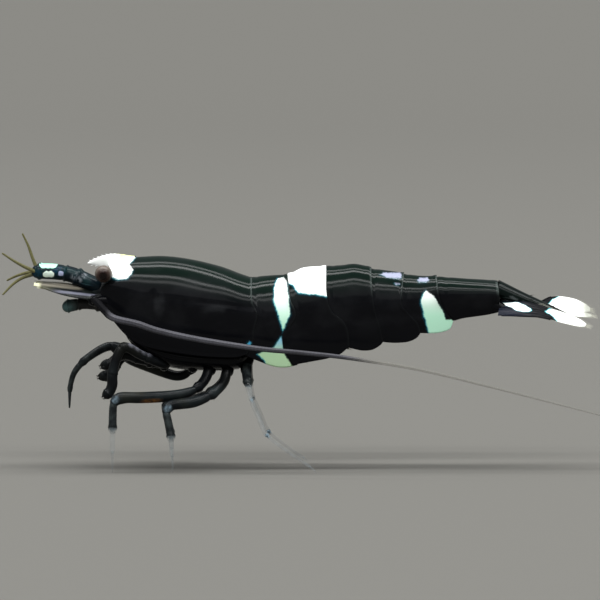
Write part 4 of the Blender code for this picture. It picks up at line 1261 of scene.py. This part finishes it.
class FanBlade:
    """The middle line of a blade with the directions and the half breadth at each of its rows."""

    def __init__(self, name, half, tilt_root, tilt_tip, root_share, points):
        self.name, self.half, self.is_outer = name, half, name.startswith("exopod")
        self.start, self.length = points[0][0], points[-1][0] - points[0][0]
        self.line = smooth_line(points, FAN_ROWS)
        side, slim, rows = -1 if name.endswith("left") else 1, SLIM_ROOT.get(name, 0.0), range(FAN_ROWS + 1)
        turns = [tilt_root + (tilt_tip - tilt_root) * ease(p.x, TWIST_FROM, TWIST_TO) for p in self.line]
        tilts = [math.radians(turn) for turn in turns]
        self.ups = [Vector((0, -math.sin(tilt), math.cos(tilt))) for tilt in tilts]
        self.halves = [fan_half(k / FAN_ROWS, half, root_share, slim) for k in rows]
        steps = [self.line[min(k + 1, FAN_ROWS)] - self.line[max(k - 1, 0)] for k in rows]
        self.ways = [step.normalized() for step in steps]
        self.outs = [up.cross(way).normalized() * side for up, way in zip(self.ups, self.ways)]

    def skin(self):
        """The leaf with its middle rib and its outer rib."""
        bm = bmesh.new()
        blade(bm, self.line, self.halves, FAN_THICKNESS, self.ups, 36)
        middle = [self.line[k] + self.ups[k] * FAN_THICKNESS * 0.5 for k in range(1, 38)]
        outer = [self.line[k] + self.outs[k] * self.halves[k] * 0.95 for k in range(2, 28)]
        tube(bm, middle, [0.075 - 0.0014 * i for i in range(len(middle))], 8)
        tube(bm, outer, [0.06] * len(outer), 8)
        return bm

    def seam(self, bm):
        """The cross seam of an outer blade, with its row of spines."""
        k = round(FAN_ROWS * HINGE_AT)
        lift = self.ups[k] * FAN_THICKNESS * 0.6
        seam = [self.line[k] + self.outs[k] * self.halves[k] * share * 0.9 + lift for share in SEAM_SHARES]
        tube(bm, seam, [0.03] * len(seam), 6)
        for i in range(6):
            bristle(bm, seam[0].lerp(seam[-1], 0.45 + 0.11 * i), Vector((1, 0, 0.1)), 0.16, 0.02)

    def paint(self, bm):
        layers = new_layers(bm, ("along", "off", "rib", "spotted", "late"))
        for vertex in bm.verts:
            past_root = vertex.co.x - self.start
            k = min(FAN_ROWS, max(0, round(past_root / self.length * FAN_ROWS)))
            sideways = (vertex.co - self.line[k]).dot(self.outs[k])
            vertex[layers["along"]] = past_root / FAN_SPAN
            vertex[layers["off"]] = sideways / self.half
            vertex[layers["rib"]] = math.cos(sideways * RIBS)
            vertex[layers["spotted"]] = float(self.is_outer)
            vertex[layers["late"]] = LATE_WHITE.get(self.name, 0.0)

    def fringe(self):
        """Bristles on both edges and round the tip. An outer blade's outer edge has none up to its seam."""
        bm = new_fringe()
        for i in range(EDGE_BRISTLES):
            share = 0.40 + 0.60 * i / (EDGE_BRISTLES - 1)
            k = min(FAN_ROWS, round(share * FAN_ROWS))
            for edge in (-1, 1):
                if edge == 1 and self.is_outer and share < HINGE_AT:
                    continue
                root = self.line[k] + self.outs[k] * edge * self.halves[k] * 0.96
                lean = self.outs[k] * edge * (1.15 - share) + self.ways[k] * (0.6 + 1.3 * share)
                spot = (share, 0.5 + 0.5 * edge * self.halves[k] / self.half)
                bristle(bm, root, lean, 0.30 + 0.10 * share, 0.011, spot)
        for i in range(TIP_BRISTLES):
            across = i / (TIP_BRISTLES - 1) * 2 - 1
            root = self.line[-1] + self.outs[-1] * across * self.halves[-1] * 0.9
            lean = self.ways[-1] + self.outs[-1] * across * 0.35
            bristle(bm, root, lean, 0.40, 0.011, (1.0, 0.5 + 0.2 * across))
        return bm


# %% Build the fan
for name, plan in FAN.items():
    fan_blade = FanBlade(name, *plan)
    skin = fan_blade.skin()
    if fan_blade.is_outer:
        fan_blade.seam(skin)
    fan_blade.paint(skin)
    make_piece(f"uropod_{name}_blade", skin, fin, [f"uropod_{name}"])
    make_piece(f"uropod_{name}_fringe", fan_blade.fringe(), seta)
print("fan blades:", len(FAN))

# %% Telson and the fan's stalks
TELSON_TOP = [(10.66, 10.68), (11.5, 10.26), (12.3, 9.87), (13.04, 9.53), (14.0, 9.08), (14.62, 8.77)]
TELSON_ROWS = 30
STALK = [(10.1, 0.4, 9.46), (10.6, 0.56, 9.34), (11.02, 0.72, 9.22)]


def telson():
    bm = bmesh.new()
    shares = [i / TELSON_ROWS for i in range(TELSON_ROWS + 1)]
    halves = [0.66 - 0.44 * share**1.1 for share in shares]
    heights = [0.10 + 0.40 * (1 - share) ** 1.2 for share in shares]
    line = [p - Vector((0, 0, height)) for p, height in zip(side_line(TELSON_TOP, TELSON_ROWS), heights)]
    draw_out(bm, ring_places(line, halves, heights=heights), 24)
    for share in (0.45, 0.62, 0.80):
        k = round(TELSON_ROWS * share)
        for side, word in SIDES:
            spot = line[k] + Vector((0.05, side * halves[k] * 0.75, heights[k] * 0.6))
            bristle(bm, spot, Vector((1, side * 0.25, 0.1)), 0.28, 0.03)
    for i in range(8):
        across = i / 7 * 2 - 1
        spot = line[-1] + Vector((0, across * halves[-1] * 0.8, 0))
        bristle(bm, spot, Vector((1, across * 0.3, -0.42)), 0.34, 0.022)
    for vertex in bm.verts:
        vertex.co = rolled(vertex.co)
    make_piece("telson_blade", bm, shell, ["telson"], paint=shell_paint("telson", back=0.5))


def fan_stalk(side, word):
    bm = bmesh.new()
    radii = [0.42 + 0.05 * math.sin(math.pi * i / 12) - 0.010 * i for i in range(13)]
    tube(bm, [rolled(p) for p in smooth_line(mirrored(STALK, side), 12)], radii, 16, flat=0.9)
    make_piece(f"uropod_stalk_{word}", bm, shell, paint=shell_paint(back=0.0))


telson()
for side, word in SIDES:
    fan_stalk(side, word)
print("pieces with the whole fan:", len(pieces))

# %% [markdown]
# ## The rostrum
# Between the eyes the shell runs out into the rostrum, a thin upright blade with fine teeth on its
# upper edge. It grows out of the carapace as a keel. Here it is a blade whose thin rings stand on
# edge, with a row of small cones for teeth.

# %% Rostrum with its teeth
ROSTRUM_UP = [
    (-12.45, 11.62), (-12.05, 11.84), (-11.49, 12.05), (-11.0, 12.12), (-10.36, 12.07), (-9.6, 11.97)]
ROSTRUM_LOW = [
    (-12.45, 11.56), (-12.0, 11.47), (-11.55, 11.38), (-11.1, 11.22), (-10.4, 11.3), (-9.8, 11.6)]
ROSTRUM_ROWS = 36


def rostrum_tint(place):
    """White, and cream where it meets the back."""
    return mix(WHITE, CREAM, ease(place.z, 11.88, 12.02) * ease(place.x, -11.0, -10.5))


def rostrum_white(place):
    """Above 0, white, along the blade, and below 0 where its keel runs out on the back."""
    return ease(-place.x, 9.65, 9.95) - 0.5


def rostrum():
    bm = bmesh.new()
    upper, lower = side_line(ROSTRUM_UP, ROSTRUM_ROWS), side_line(ROSTRUM_LOW, ROSTRUM_ROWS)
    middle = [(a + b) / 2 for a, b in zip(upper, lower)]
    heights = [(a - b).length / 2 + 0.01 for a, b in zip(upper, lower)]
    widths = [0.05 + 0.13 * ease(i / ROSTRUM_ROWS, 0.3, 1.0) for i in range(ROSTRUM_ROWS + 1)]
    draw_out(bm, ring_places(middle, widths, heights=heights), 20)
    for i in range(9):
        bristle(bm, upper[3 + i * 3] + Vector((0, 0, -0.03)), Vector((-1.0, 0, 0.45)), 0.16, 0.035)
    for i in range(3):
        bristle(bm, lower[4 + i * 3] + Vector((0, 0, 0.02)), Vector((-1.0, 0, -0.5)), 0.14, 0.03)
    paint = {**shell_paint(), "patch": rostrum_white, "tint": rostrum_tint, "cool": nowhere}
    make_piece("rostrum", bm, shell, paint=paint)


rostrum()
print("pieces with the rostrum:", len(pieces))

# %% [markdown]
# ## The head inside the shell
# Behind the eyes and feelers the head itself fills the opening of the carapace. Nobody sees much of
# it, but without it the shell would look hollow from the front.

# %% Head core
# Rings of the core: X, Z, half breadth, half height.
HEAD_CORE = [
    (-9.6, 10.0, 1.35, 1.45), (-10.6, 10.05, 1.22, 1.3), (-11.3, 10.0, 1.05, 1.05),
    (-12.0, 9.9, 0.92, 0.82), (-12.5, 9.9, 0.62, 0.58), (-12.7, 9.95, 0.3, 0.3)]


def head_core():
    bm = bmesh.new()
    half_height = table([(-x, tall) for x, z, half, tall in HEAD_CORE])
    line = smooth_line([(x, z, half) for x, z, half, tall in HEAD_CORE], 18)
    draw_out(bm, [upright_ring(x, z, half, half_height(-x)) for x, z, half in line], 28)
    for side, word in SIDES:
        bristle(bm, Vector((-11.40, side * 1.06, 9.86)), Vector((-1, side * 0.12, 0.05)), 0.62, 0.10)
    make_piece("head_core", bm, dark_limb, paint=PLAIN)


head_core()

# %% [markdown]
# ## Eyes
# Each eye sits on a short stalk and looks out sideways. It is a clear brown dome over a dark red core.
# A half profile spun about the stalk's axis makes it, and the colour runs from the core to the rim by
# distance from the axis.

# %% Eye finish and sizes
EYE_CENTRE, EYE_RADIUS, STALK_RADIUS, STALK_LENGTH = Vector((-11.50, 1.42, 11.07)), 0.49, 0.26, 0.90
CORE_SHIFT = 0.10  # how far above the middle of the eye its dark core sits
CORE_RED, EYE_BROWN, EYE_RIM = (0.006, 0.0028, 0.0025, 1), (0.042, 0.026, 0.022, 1), (0.125, 0.104, 0.088, 1)
cornea, wire = finish("cornea", roughness=0.06, ior=1.28)
facets = wire.cells(16.0)
out = wire.attribute("core") + (wire.noise(3.0, 2.0) - 0.5) * 0.16
base = out.rise(0.30, 0.70).blend(CORE_RED, EYE_BROWN)
base = out.rise(0.62, 1.0).blend(base, EYE_RIM)
feed(cornea, base_color=base, normal=wire.bump(facets, 0.004, 0.25))


# %% Shape of the eyes
def spin_profile(bm, profile, steps, merge_at):
    """A half profile of (radius, height) points, turned once about Z."""
    verts = [bm.verts.new((radius, 0, height)) for radius, height in profile]
    edges = [bm.edges.new(pair) for pair in zip(verts, verts[1:])]
    bmesh.ops.spin(bm, geom=[*verts, *edges], cent=(0, 0, 0), axis=(0, 0, 1), angle=math.tau, steps=steps,
                   use_merge=True)
    bmesh.ops.remove_doubles(bm, verts=bm.verts, dist=merge_at)


def eye(side, word):
    bm = bmesh.new()
    lowest = math.pi - math.asin(STALK_RADIUS / EYE_RADIUS)
    angles = [lowest * i / 24 for i in range(25)]
    ball = [(EYE_RADIUS * math.sin(angle), EYE_RADIUS * math.cos(angle)) for angle in angles]
    stalk = [(STALK_RADIUS * 0.92, -0.55), (STALK_RADIUS, -0.70), (STALK_RADIUS * 0.98, -STALK_LENGTH)]
    spin_profile(bm, [*ball, *stalk, (0.0, -STALK_LENGTH)], 40, SAME_PLACE)
    core = bm.verts.layers.float.new("core")
    for vertex in bm.verts:
        flat = math.hypot(vertex.co.x, vertex.co.y - side * CORE_SHIFT) / EYE_RADIUS
        vertex[core] = flat if vertex.co.z > 0 else 1.0
    turn = Matrix.Rotation(math.radians(-90 * side), 4, "X")
    centre = Vector((EYE_CENTRE.x, side * EYE_CENTRE.y, EYE_CENTRE.z))
    bmesh.ops.transform(bm, matrix=Matrix.Translation(centre) @ turn, verts=bm.verts)
    make_piece(f"eye_{word}_ball", bm, cornea, [f"eye_{word}"])


for side, word in SIDES:
    eye(side, word)
print("pieces with the eyes:", len(pieces))

# %% [markdown]
# ## Antennules and their feelers
# The antennules stand side by side in front of the rostrum. Each has three articles and a spine at its
# root. The last article is covered in mint cells, and carries two short feelers with many rings.

# %% Antennule finish
DEEP_TEAL, DARK_TEAL = (0.004, 0.0085, 0.012, 1), (0.008, 0.024, 0.026, 1)
NIGHT_BLUE, JOINT_GREY = (0.006, 0.030, 0.052, 1), (0.16, 0.18, 0.20, 1)
# Marks, in the order in which they are laid on: attribute, how much it frays, limits, colour.
MARKS = [
    ("lilac", 0.5, 0.40, 0.60, (0.34, 0.38, 0.54, 1)),
    ("mint", 0.4, 0.40, 0.55, (0.42, 0.86, 0.66, 1)),
    ("chalk", 0.4, 0.40, 0.55, (0.80, 0.95, 0.84, 1)),
]
antennule_skin, wire = finish("antennule_skin", roughness=0.16)
fray = wire.noise(4.0, 2.0)
base = wire.noise(1.5, 3.0).rise(0.4, 0.7).blend(DEEP_TEAL, DARK_TEAL)
base = (wire.attribute("blue") * fray.rise(0.35, 0.6)).blend(base, NIGHT_BLUE)
base = (wire.attribute("joint") * fray.rise(0.4, 0.6)).blend(base, JOINT_GREY)
for mark, raggedness, low, high, colour in MARKS:
    base = (wire.attribute(mark) + (fray - 0.5) * raggedness).rise(low, high).blend(base, colour)
feed(antennule_skin, base_color=base, normal=wire.bump(fray, 0.01, 0.3))

# %% Shape of the antennules
ANTENNULE = [
    (-11.6, 0.5, 10.2), (-12.1, 0.52, 10.38), (-12.75, 0.52, 10.68), (-13.35, 0.52, 10.94),
    (-14.2, 0.52, 11.1), (-15.0, 0.52, 11.14), (-15.3, 0.52, 11.14)]
ANTENNULE_ARTICLES = [(0.0, 0.44, 0.44, 0.43), (0.43, 0.6, 0.41, 0.42), (0.59, 1.0, 0.4, 0.4, 0.05)]
ANTENNULE_FEELERS = {
    "outer_left": [
        (-15.4, -0.76, 11.16), (-16.05, -0.92, 11.48), (-16.6, -1.0, 11.8), (-17.2, -1.06, 12.2)],
    "inner_left": [
        (-15.4, -0.4, 11.02), (-16.1, -0.42, 10.8), (-16.65, -0.5, 10.44), (-17.22, -0.58, 9.86)],
    "outer_right": [(-15.4, 0.76, 11.08), (-16.05, 0.98, 10.98), (-16.6, 1.12, 10.8), (-17.1, 1.2, 10.56)],
    "inner_right": [
        (-15.36, 0.4, 11.24), (-15.62, 0.46, 11.9), (-15.86, 0.58, 12.56), (-16.18, 0.68, 13.22)],
}
# Marks on the right antennule: places and reach.
MARK_SPOTS = {
    "chalk": ([(-14.74, 0.92, 11.00), (-14.50, 0.92, 11.00)], 0.29),
    "lilac": ([(-13.93, 0.92, 11.06)], 0.22),
    "blue": ([(-14.20, 0.92, 11.10), (-15.25, 0.92, 10.95), (-14.0, 0.92, 11.25)], 0.40),
    "joint": ([(-13.20, 0.9, 10.90), (-12.90, 0.92, 10.72), (-12.60, 0.8, 10.95)], 0.24),
}
MINT_SPOTS = [(-14.90, 0.6, 11.54), (-14.65, 0.6, 11.54), (-14.42, 0.6, 11.54)]


# %% Feelers with rings, and the antennules
def feeler(name, path, thick, thin, spacing, material, stands_for, dusk_end=0.0):
    """A tapering feeler with a ring every spacing millimetres."""
    length = sum((Vector(b) - Vector(a)).length for a, b in zip(path, path[1:]))
    rings = max(8, round(length / spacing))
    line = smooth_line(path, rings * 3)
    radii = [(thick + (thin - thick) * i / len(line)) * (1.0, 1.02, 0.98)[i % 3] for i in range(len(line))]
    bm = bmesh.new()
    tube(bm, line, radii, 8)
    layers = new_layers(bm, ("ring", "dusk", "thin"))
    first, way = line[0], line[-1] - line[0]
    for vertex in bm.verts:
        along = (vertex.co - first).dot(way) / way.length_squared
        vertex[layers["thin"]] = ease(vertex.co.x, 1.8, 4.5)
        vertex[layers["ring"]] = 0.5 + 0.5 * math.cos(along * rings * math.pi)
        vertex[layers["dusk"]] = (1 - ease(along, dusk_end * 0.6, dusk_end)) if dusk_end else 0.0
    make_piece(name, bm, material, stands_for)


def antennule(side, word):
    bm = bmesh.new()
    line = smooth_line(mirrored(ANTENNULE, side), 60)
    for plan in ANTENNULE_ARTICLES:
        article(bm, line, *plan, sides=18)
    bristle(bm, line[4] + Vector((0, side * 0.34, 0.0)), Vector((-1, side * 0.30, 0.25)), 1.05, 0.08)
    paint = {"mint": near_points(mirrored(MINT_SPOTS, side), 0.38, (1, 0.7, 1))}
    for mark, (spots, reach) in MARK_SPOTS.items():
        paint[mark] = near_points(mirrored(spots, side), reach)
    node = f"antennule_{word}"
    make_piece(f"{node}_stem", bm, antennule_skin, [node], paint=paint)


for side, word in SIDES:
    antennule(side, word)
for word, path in ANTENNULE_FEELERS.items():
    node = f"antennule_flagellum_{word}"
    feeler(f"antennule_feeler_{word}", path, 0.115, 0.050, 0.09, olive_feeler, [node])

# %% [markdown]
# ## Antennae with their scales
# Each antenna has a short base, a broad scale that works as a rudder, and the longest feeler of all.
# The left feeler runs back in front of the flank and past the tail, and the right one lies behind it.

# %% Finish of the scales
SCALE_BLACK, SCALE_STREAK = (0.014, 0.018, 0.014, 1), (0.12, 0.125, 0.165, 1)
SCALE_OLIVE, SCALE_HORN = (0.055, 0.055, 0.030, 1), (0.20, 0.185, 0.150, 1)
SCALE_TIP = (0.66, 0.66, 0.44, 1)
scale_skin, wire = finish("scale_skin", roughness=0.2)
along, off = wire.attribute("along"), wire.attribute("off")
streak = 1 - (off - 0.1).unsigned().rise(0.05, 0.32)
streak_ends = along.rise(0.0, 0.05) * (1 - along.rise(0.55, 0.75))
base = wire.noise(1.4, 3.0).rise(0.4, 0.7).blend(INK, SCALE_BLACK)
base = (streak * streak_ends * 0.8).blend(base, SCALE_STREAK)
base = along.rise(0.62, 0.9).blend(base, SCALE_OLIVE)
base = ((off * -1).rise(0.35, 0.8) * along.rise(0.22, 0.34)).blend(base, SCALE_HORN)
base = along.rise(0.87, 0.95).blend(base, SCALE_TIP)
feed(scale_skin, base_color=base, normal=wire.bump(wire.noise(3.0, 2.0, (0.3, 1, 1)), 0.01, 0.3))

# %% Shape of the scales and bases
SCALE_ENDS = [(-11.80, 1.02, 9.80), (-15.44, 0.98, 10.46)]
SCALE_TILT = math.radians(34)
SCALE_HALF = 0.54  # greatest half breadth
SCALE_ROWS, SCALE_BRISTLES = 30, 60
# An antenna's two root tubes: course, steps, radius at its start, loss of radius at a step, sides.
ANTENNA_ROOT = [
    ([(-11.40, 0.86, 9.50), (-11.85, 1.00, 9.52), (-12.20, 1.08, 9.56)], 12, 0.44, 0.012, 18),
    ([(-11.86, 1.06, 9.52), (-12.02, 1.30, 9.58), (-11.98, 1.52, 9.58)], 8, 0.27, 0.006, 14)]


def antennal_scale(side, word):
    """The scale's blade with a stiff outer edge and its spine, and the fringe on its inner edge."""
    bm, fringe = bmesh.new(), new_fringe()
    root, tip = (Vector(end) for end in mirrored(SCALE_ENDS, side))
    ahead = (tip - root).normalized()
    up = Vector((0, side * math.sin(SCALE_TILT), math.cos(SCALE_TILT)))
    out = Vector((0, side * math.cos(SCALE_TILT), -math.sin(SCALE_TILT)))
    line = straight(root, tip, SCALE_ROWS)
    halves = [leaf(i / SCALE_ROWS, SCALE_HALF, 0.7, 0.26, 0.34) for i in range(SCALE_ROWS + 1)]
    blade(bm, line, halves, 0.05, up=up, sides=30)
    edge = [line[k] + out * halves[k] * 0.93 for k in range(2, 27)]
    tube(bm, edge, [0.05 - 0.001 * i for i in range(len(edge))], 8)
    bristle(bm, line[25] + out * halves[25] * 0.95, ahead + out * 0.1, 0.45, 0.05)
    layers = new_layers(bm, ("along", "off"))
    for vertex in bm.verts:
        offset = vertex.co - root
        vertex[layers["along"]] = offset.dot(ahead) / (tip - root).length
        vertex[layers["off"]] = offset.dot(out) / SCALE_HALF
    make_piece(f"antennal_scale_{word}_blade", bm, scale_skin, [f"antennal_scale_{word}"])
    for i in range(SCALE_BRISTLES):
        share = 0.15 + 0.85 * i / (SCALE_BRISTLES - 1)
        k = min(SCALE_ROWS, int(share * SCALE_ROWS))
        lean = -out * (1.1 - share) + ahead * (0.4 + 1.2 * share)
        bristle(fringe, line[k] - out * halves[k] * 0.95, lean, 0.30, 0.011, (share, 0.2))
    make_piece(f"antennal_scale_{word}_fringe", fringe, seta)


def antenna_root(side, word):
    bm = bmesh.new()
    for course, steps, radius, loss, sides in ANTENNA_ROOT:
        radii = [radius - loss * i for i in range(steps + 1)]
        tube(bm, smooth_line(mirrored(course, side), steps), radii, sides)
    node = f"antenna_base_{word}"
    make_piece(f"antenna_root_{word}", bm, shell, [node], paint=shell_paint(back=0.0))


for side, word in SIDES:
    antennal_scale(side, word)
    antenna_root(side, word)
print("pieces with the antennal scales:", len(pieces))

# %% The long feelers
FEELERS = {
    "left": [
        (-12.0, -1.46, 9.6), (-11.86, -1.74, 9.5), (-11.64, -2.02, 9.28), (-11.38, -2.26, 9.02),
        (-11.1, -2.46, 8.76), (-10.64, -2.66, 8.58), (-9.51, -2.92, 8.34), (-8.38, -3.15, 7.98),
        (-6.11, -3.55, 7.52), (-2.77, -4.15, 7.05), (-0.3, -4.5, 6.84), (2.21, -4.8, 6.58),
        (6.0, -5.1, 5.98), (9.73, -5.32, 5.1), (13.47, -5.45, 4.15), (17.25, -5.5, 3.17)],
    "right": [
        (-12.0, 1.46, 9.6), (-11.86, 1.74, 9.5), (-11.64, 2.02, 9.32), (-11.1, 2.46, 8.98),
        (-8.94, 3.05, 8.5), (-6.11, 3.6, 8.2), (-2.77, 4.15, 8.1), (2.21, 4.8, 8.35), (6.0, 5.15, 8.7),
        (9.73, 5.4, 8.95), (13.2, 5.5, 8.75)],
}
FEELER_RINGS = 0.10  # from ring to ring along a long feeler
for word, path in FEELERS.items():
    feeler(f"antenna_feeler_{word}", path, 0.21, 0.030, FEELER_RINGS, lilac_feeler,
           [f"antenna_{word}_base", f"antenna_{word}_tip"], dusk_end=0.046)

# %% [markdown]
# ## Mouth limbs
# A pair of slender limbs reaches forward under the head, curved up like tusks and ending in a round,
# teal tip with a brush. They help to hand food to the mouth.

# %% Maxillipeds
MOUTH_BLACK, MOUTH_GREY = (0.020, 0.020, 0.020, 1), (0.048, 0.048, 0.044, 1)
MOUTH_TEAL = (0.050, 0.095, 0.095, 1)
mouth_limb, wire = finish("mouth_limb")
base = wire.noise(2.0, 3.0).rise(0.4, 0.7).blend(MOUTH_BLACK, MOUTH_GREY)
blotch = wire.noise(2.6, 3.0).rise(0.35, 0.65)
base = (wire.attribute("tip") * (0.5 + blotch * 0.5)).blend(base, MOUTH_TEAL)
feed(mouth_limb, base_color=base, normal=wire.bump(blotch, 0.01, 0.3))
MAXILLIPED = [
    (-10.7, 0.45, 8.7), (-11.2, 0.48, 9.02), (-11.85, 0.48, 9.22), (-12.6, 0.5, 9.3), (-13.15, 0.5, 9.24),
    (-13.62, 0.5, 9.16)]
MAXILLIPED_ARTICLES = [(0.0, 0.45, 0.28, 0.30), (0.44, 0.80, 0.27, 0.28), (0.79, 1.0, 0.30, 0.34)]
for side, word in SIDES:
    bm = bmesh.new()
    line = smooth_line(mirrored(MAXILLIPED, side), 60)
    for plan in MAXILLIPED_ARTICLES:
        article(bm, line, *plan, sides=14)
    for i in range(20):
        way = Vector((-0.8, 0.5 * math.sin(i * 2.4), -0.7 + 0.4 * math.cos(i * 2.4)))
        bristle(bm, line[44 + i % 16], way, 0.40, 0.010)
    make_piece(f"maxilliped_{word}_limb", bm, mouth_limb, [f"maxilliped_{word}"],
               paint={"tip": lambda place: ease(-place.x, 12.9, 13.4)})
print("pieces:", len(pieces))

# %% [markdown]
# ## Stage, light and camera
# The shrimp stands on a plain pale floor that runs out on all sides and curves up far away, so every
# side has the same quiet background. The light is soft, with two pairs of long tubes overhead, as over
# a fish tank: the round back mirrors them as thin double lines. The camera looks at the left flank from
# far away and a little above, so the near and the far legs keep nearly the same scale.

# %% Pale floor
FLOOR_GREY = (0.124, 0.122, 0.112, 1)
stage_skin, wire = finish("pale_floor", roughness=0.9, base_color=FLOOR_GREY)
FLOOR_PROFILE = [(0, 0), (600, 0), (900, 20), (1150, 110), (1300, 280), (1380, 480)]
bm = bmesh.new()
spin_profile(bm, [(p.x, p.z) for p in side_line(FLOOR_PROFILE, 40)], 72, 1e-3)
bmesh.ops.recalc_face_normals(bm, faces=bm.faces)
bmesh.ops.scale(bm, vec=(MM, MM, MM), verts=bm.verts)
mesh = bpy.data.meshes.new("floor")
bm.to_mesh(mesh)
bm.free()
mesh.shade_smooth()
mesh.materials.append(stage_skin)
floor = bpy.data.objects.new("floor", mesh)
bpy.context.scene.collection.objects.link(floor)
floor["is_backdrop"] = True

# %% Lights
world = bpy.data.worlds.new("soft_room")
world.use_nodes = True
background = world.node_tree.nodes["Background"]
background.inputs["Color"].default_value = (0.95, 0.97, 1.0, 1)
background.inputs["Strength"].default_value = 0.26
bpy.context.scene.world = world


def area_light(name, place, target, width, height, radiance, shape="RECTANGLE"):
    """A lamp of a given size in millimetres. Its power is set from the brightness of its face."""
    data = bpy.data.lights.new(name, "AREA")
    data.shape, data.size, data.size_y = shape, width * MM, height * MM
    data.energy = radiance * math.pi * data.size * data.size_y * (1 if shape == "RECTANGLE" else math.pi / 4)
    lamp = bpy.data.objects.new(name, data)
    bpy.context.scene.collection.objects.link(lamp)
    lamp.location = Vector(place) * MM
    lamp.rotation_euler = (Vector(target) - Vector(place)).to_track_quat("-Z", "Y").to_euler()


BODY_MIDDLE = Vector((0, 0, 9.5))
TUBE_DISTANCE, TUBE_LENGTH = 3000, 5200
# Rise in degrees: width in millimetres and brightness.
TUBES = {103: (420, 9.0), 86: (400, 20.0), 53: (250, 15.5), 42.5: (250, 7.0)}
for rise, (width, radiance) in TUBES.items():
    angle = math.radians(rise)
    place = BODY_MIDDLE + TUBE_DISTANCE * Vector((0, -math.cos(angle), math.sin(angle)))
    area_light(f"tube_{rise}", place, BODY_MIDDLE, TUBE_LENGTH, width, radiance)
area_light("soft_front", (-500, -2150, 980), BODY_MIDDLE, 2400, 2400, 0.7, "ELLIPSE")

# %% Camera
CAMERA_DISTANCE, CAMERA_RISE = 240.0, math.radians(3.5)
PICTURE_WIDTH = 33.96  # millimetres across the picture at the body
SENSOR_WIDTH = 36.0
AIM = Vector((-0.45, 0.0, 9.51))
camera_data = bpy.data.cameras.new("camera")
camera_data.sensor_width = SENSOR_WIDTH
camera_data.lens = SENSOR_WIDTH * CAMERA_DISTANCE / PICTURE_WIDTH
camera_data.clip_start = 0.01
camera = bpy.data.objects.new("camera", camera_data)
bpy.context.scene.collection.objects.link(camera)
away = Vector((0, -math.cos(CAMERA_RISE), math.sin(CAMERA_RISE)))
camera.location = (AIM + CAMERA_DISTANCE * away) * MM
camera.rotation_euler = (math.radians(90) - CAMERA_RISE, 0, 0)
bpy.context.scene.camera = camera
bpy.context.scene.view_settings.view_transform = "Standard"

# %% Sizes
size["visual"] = [list(corner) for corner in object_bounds()]
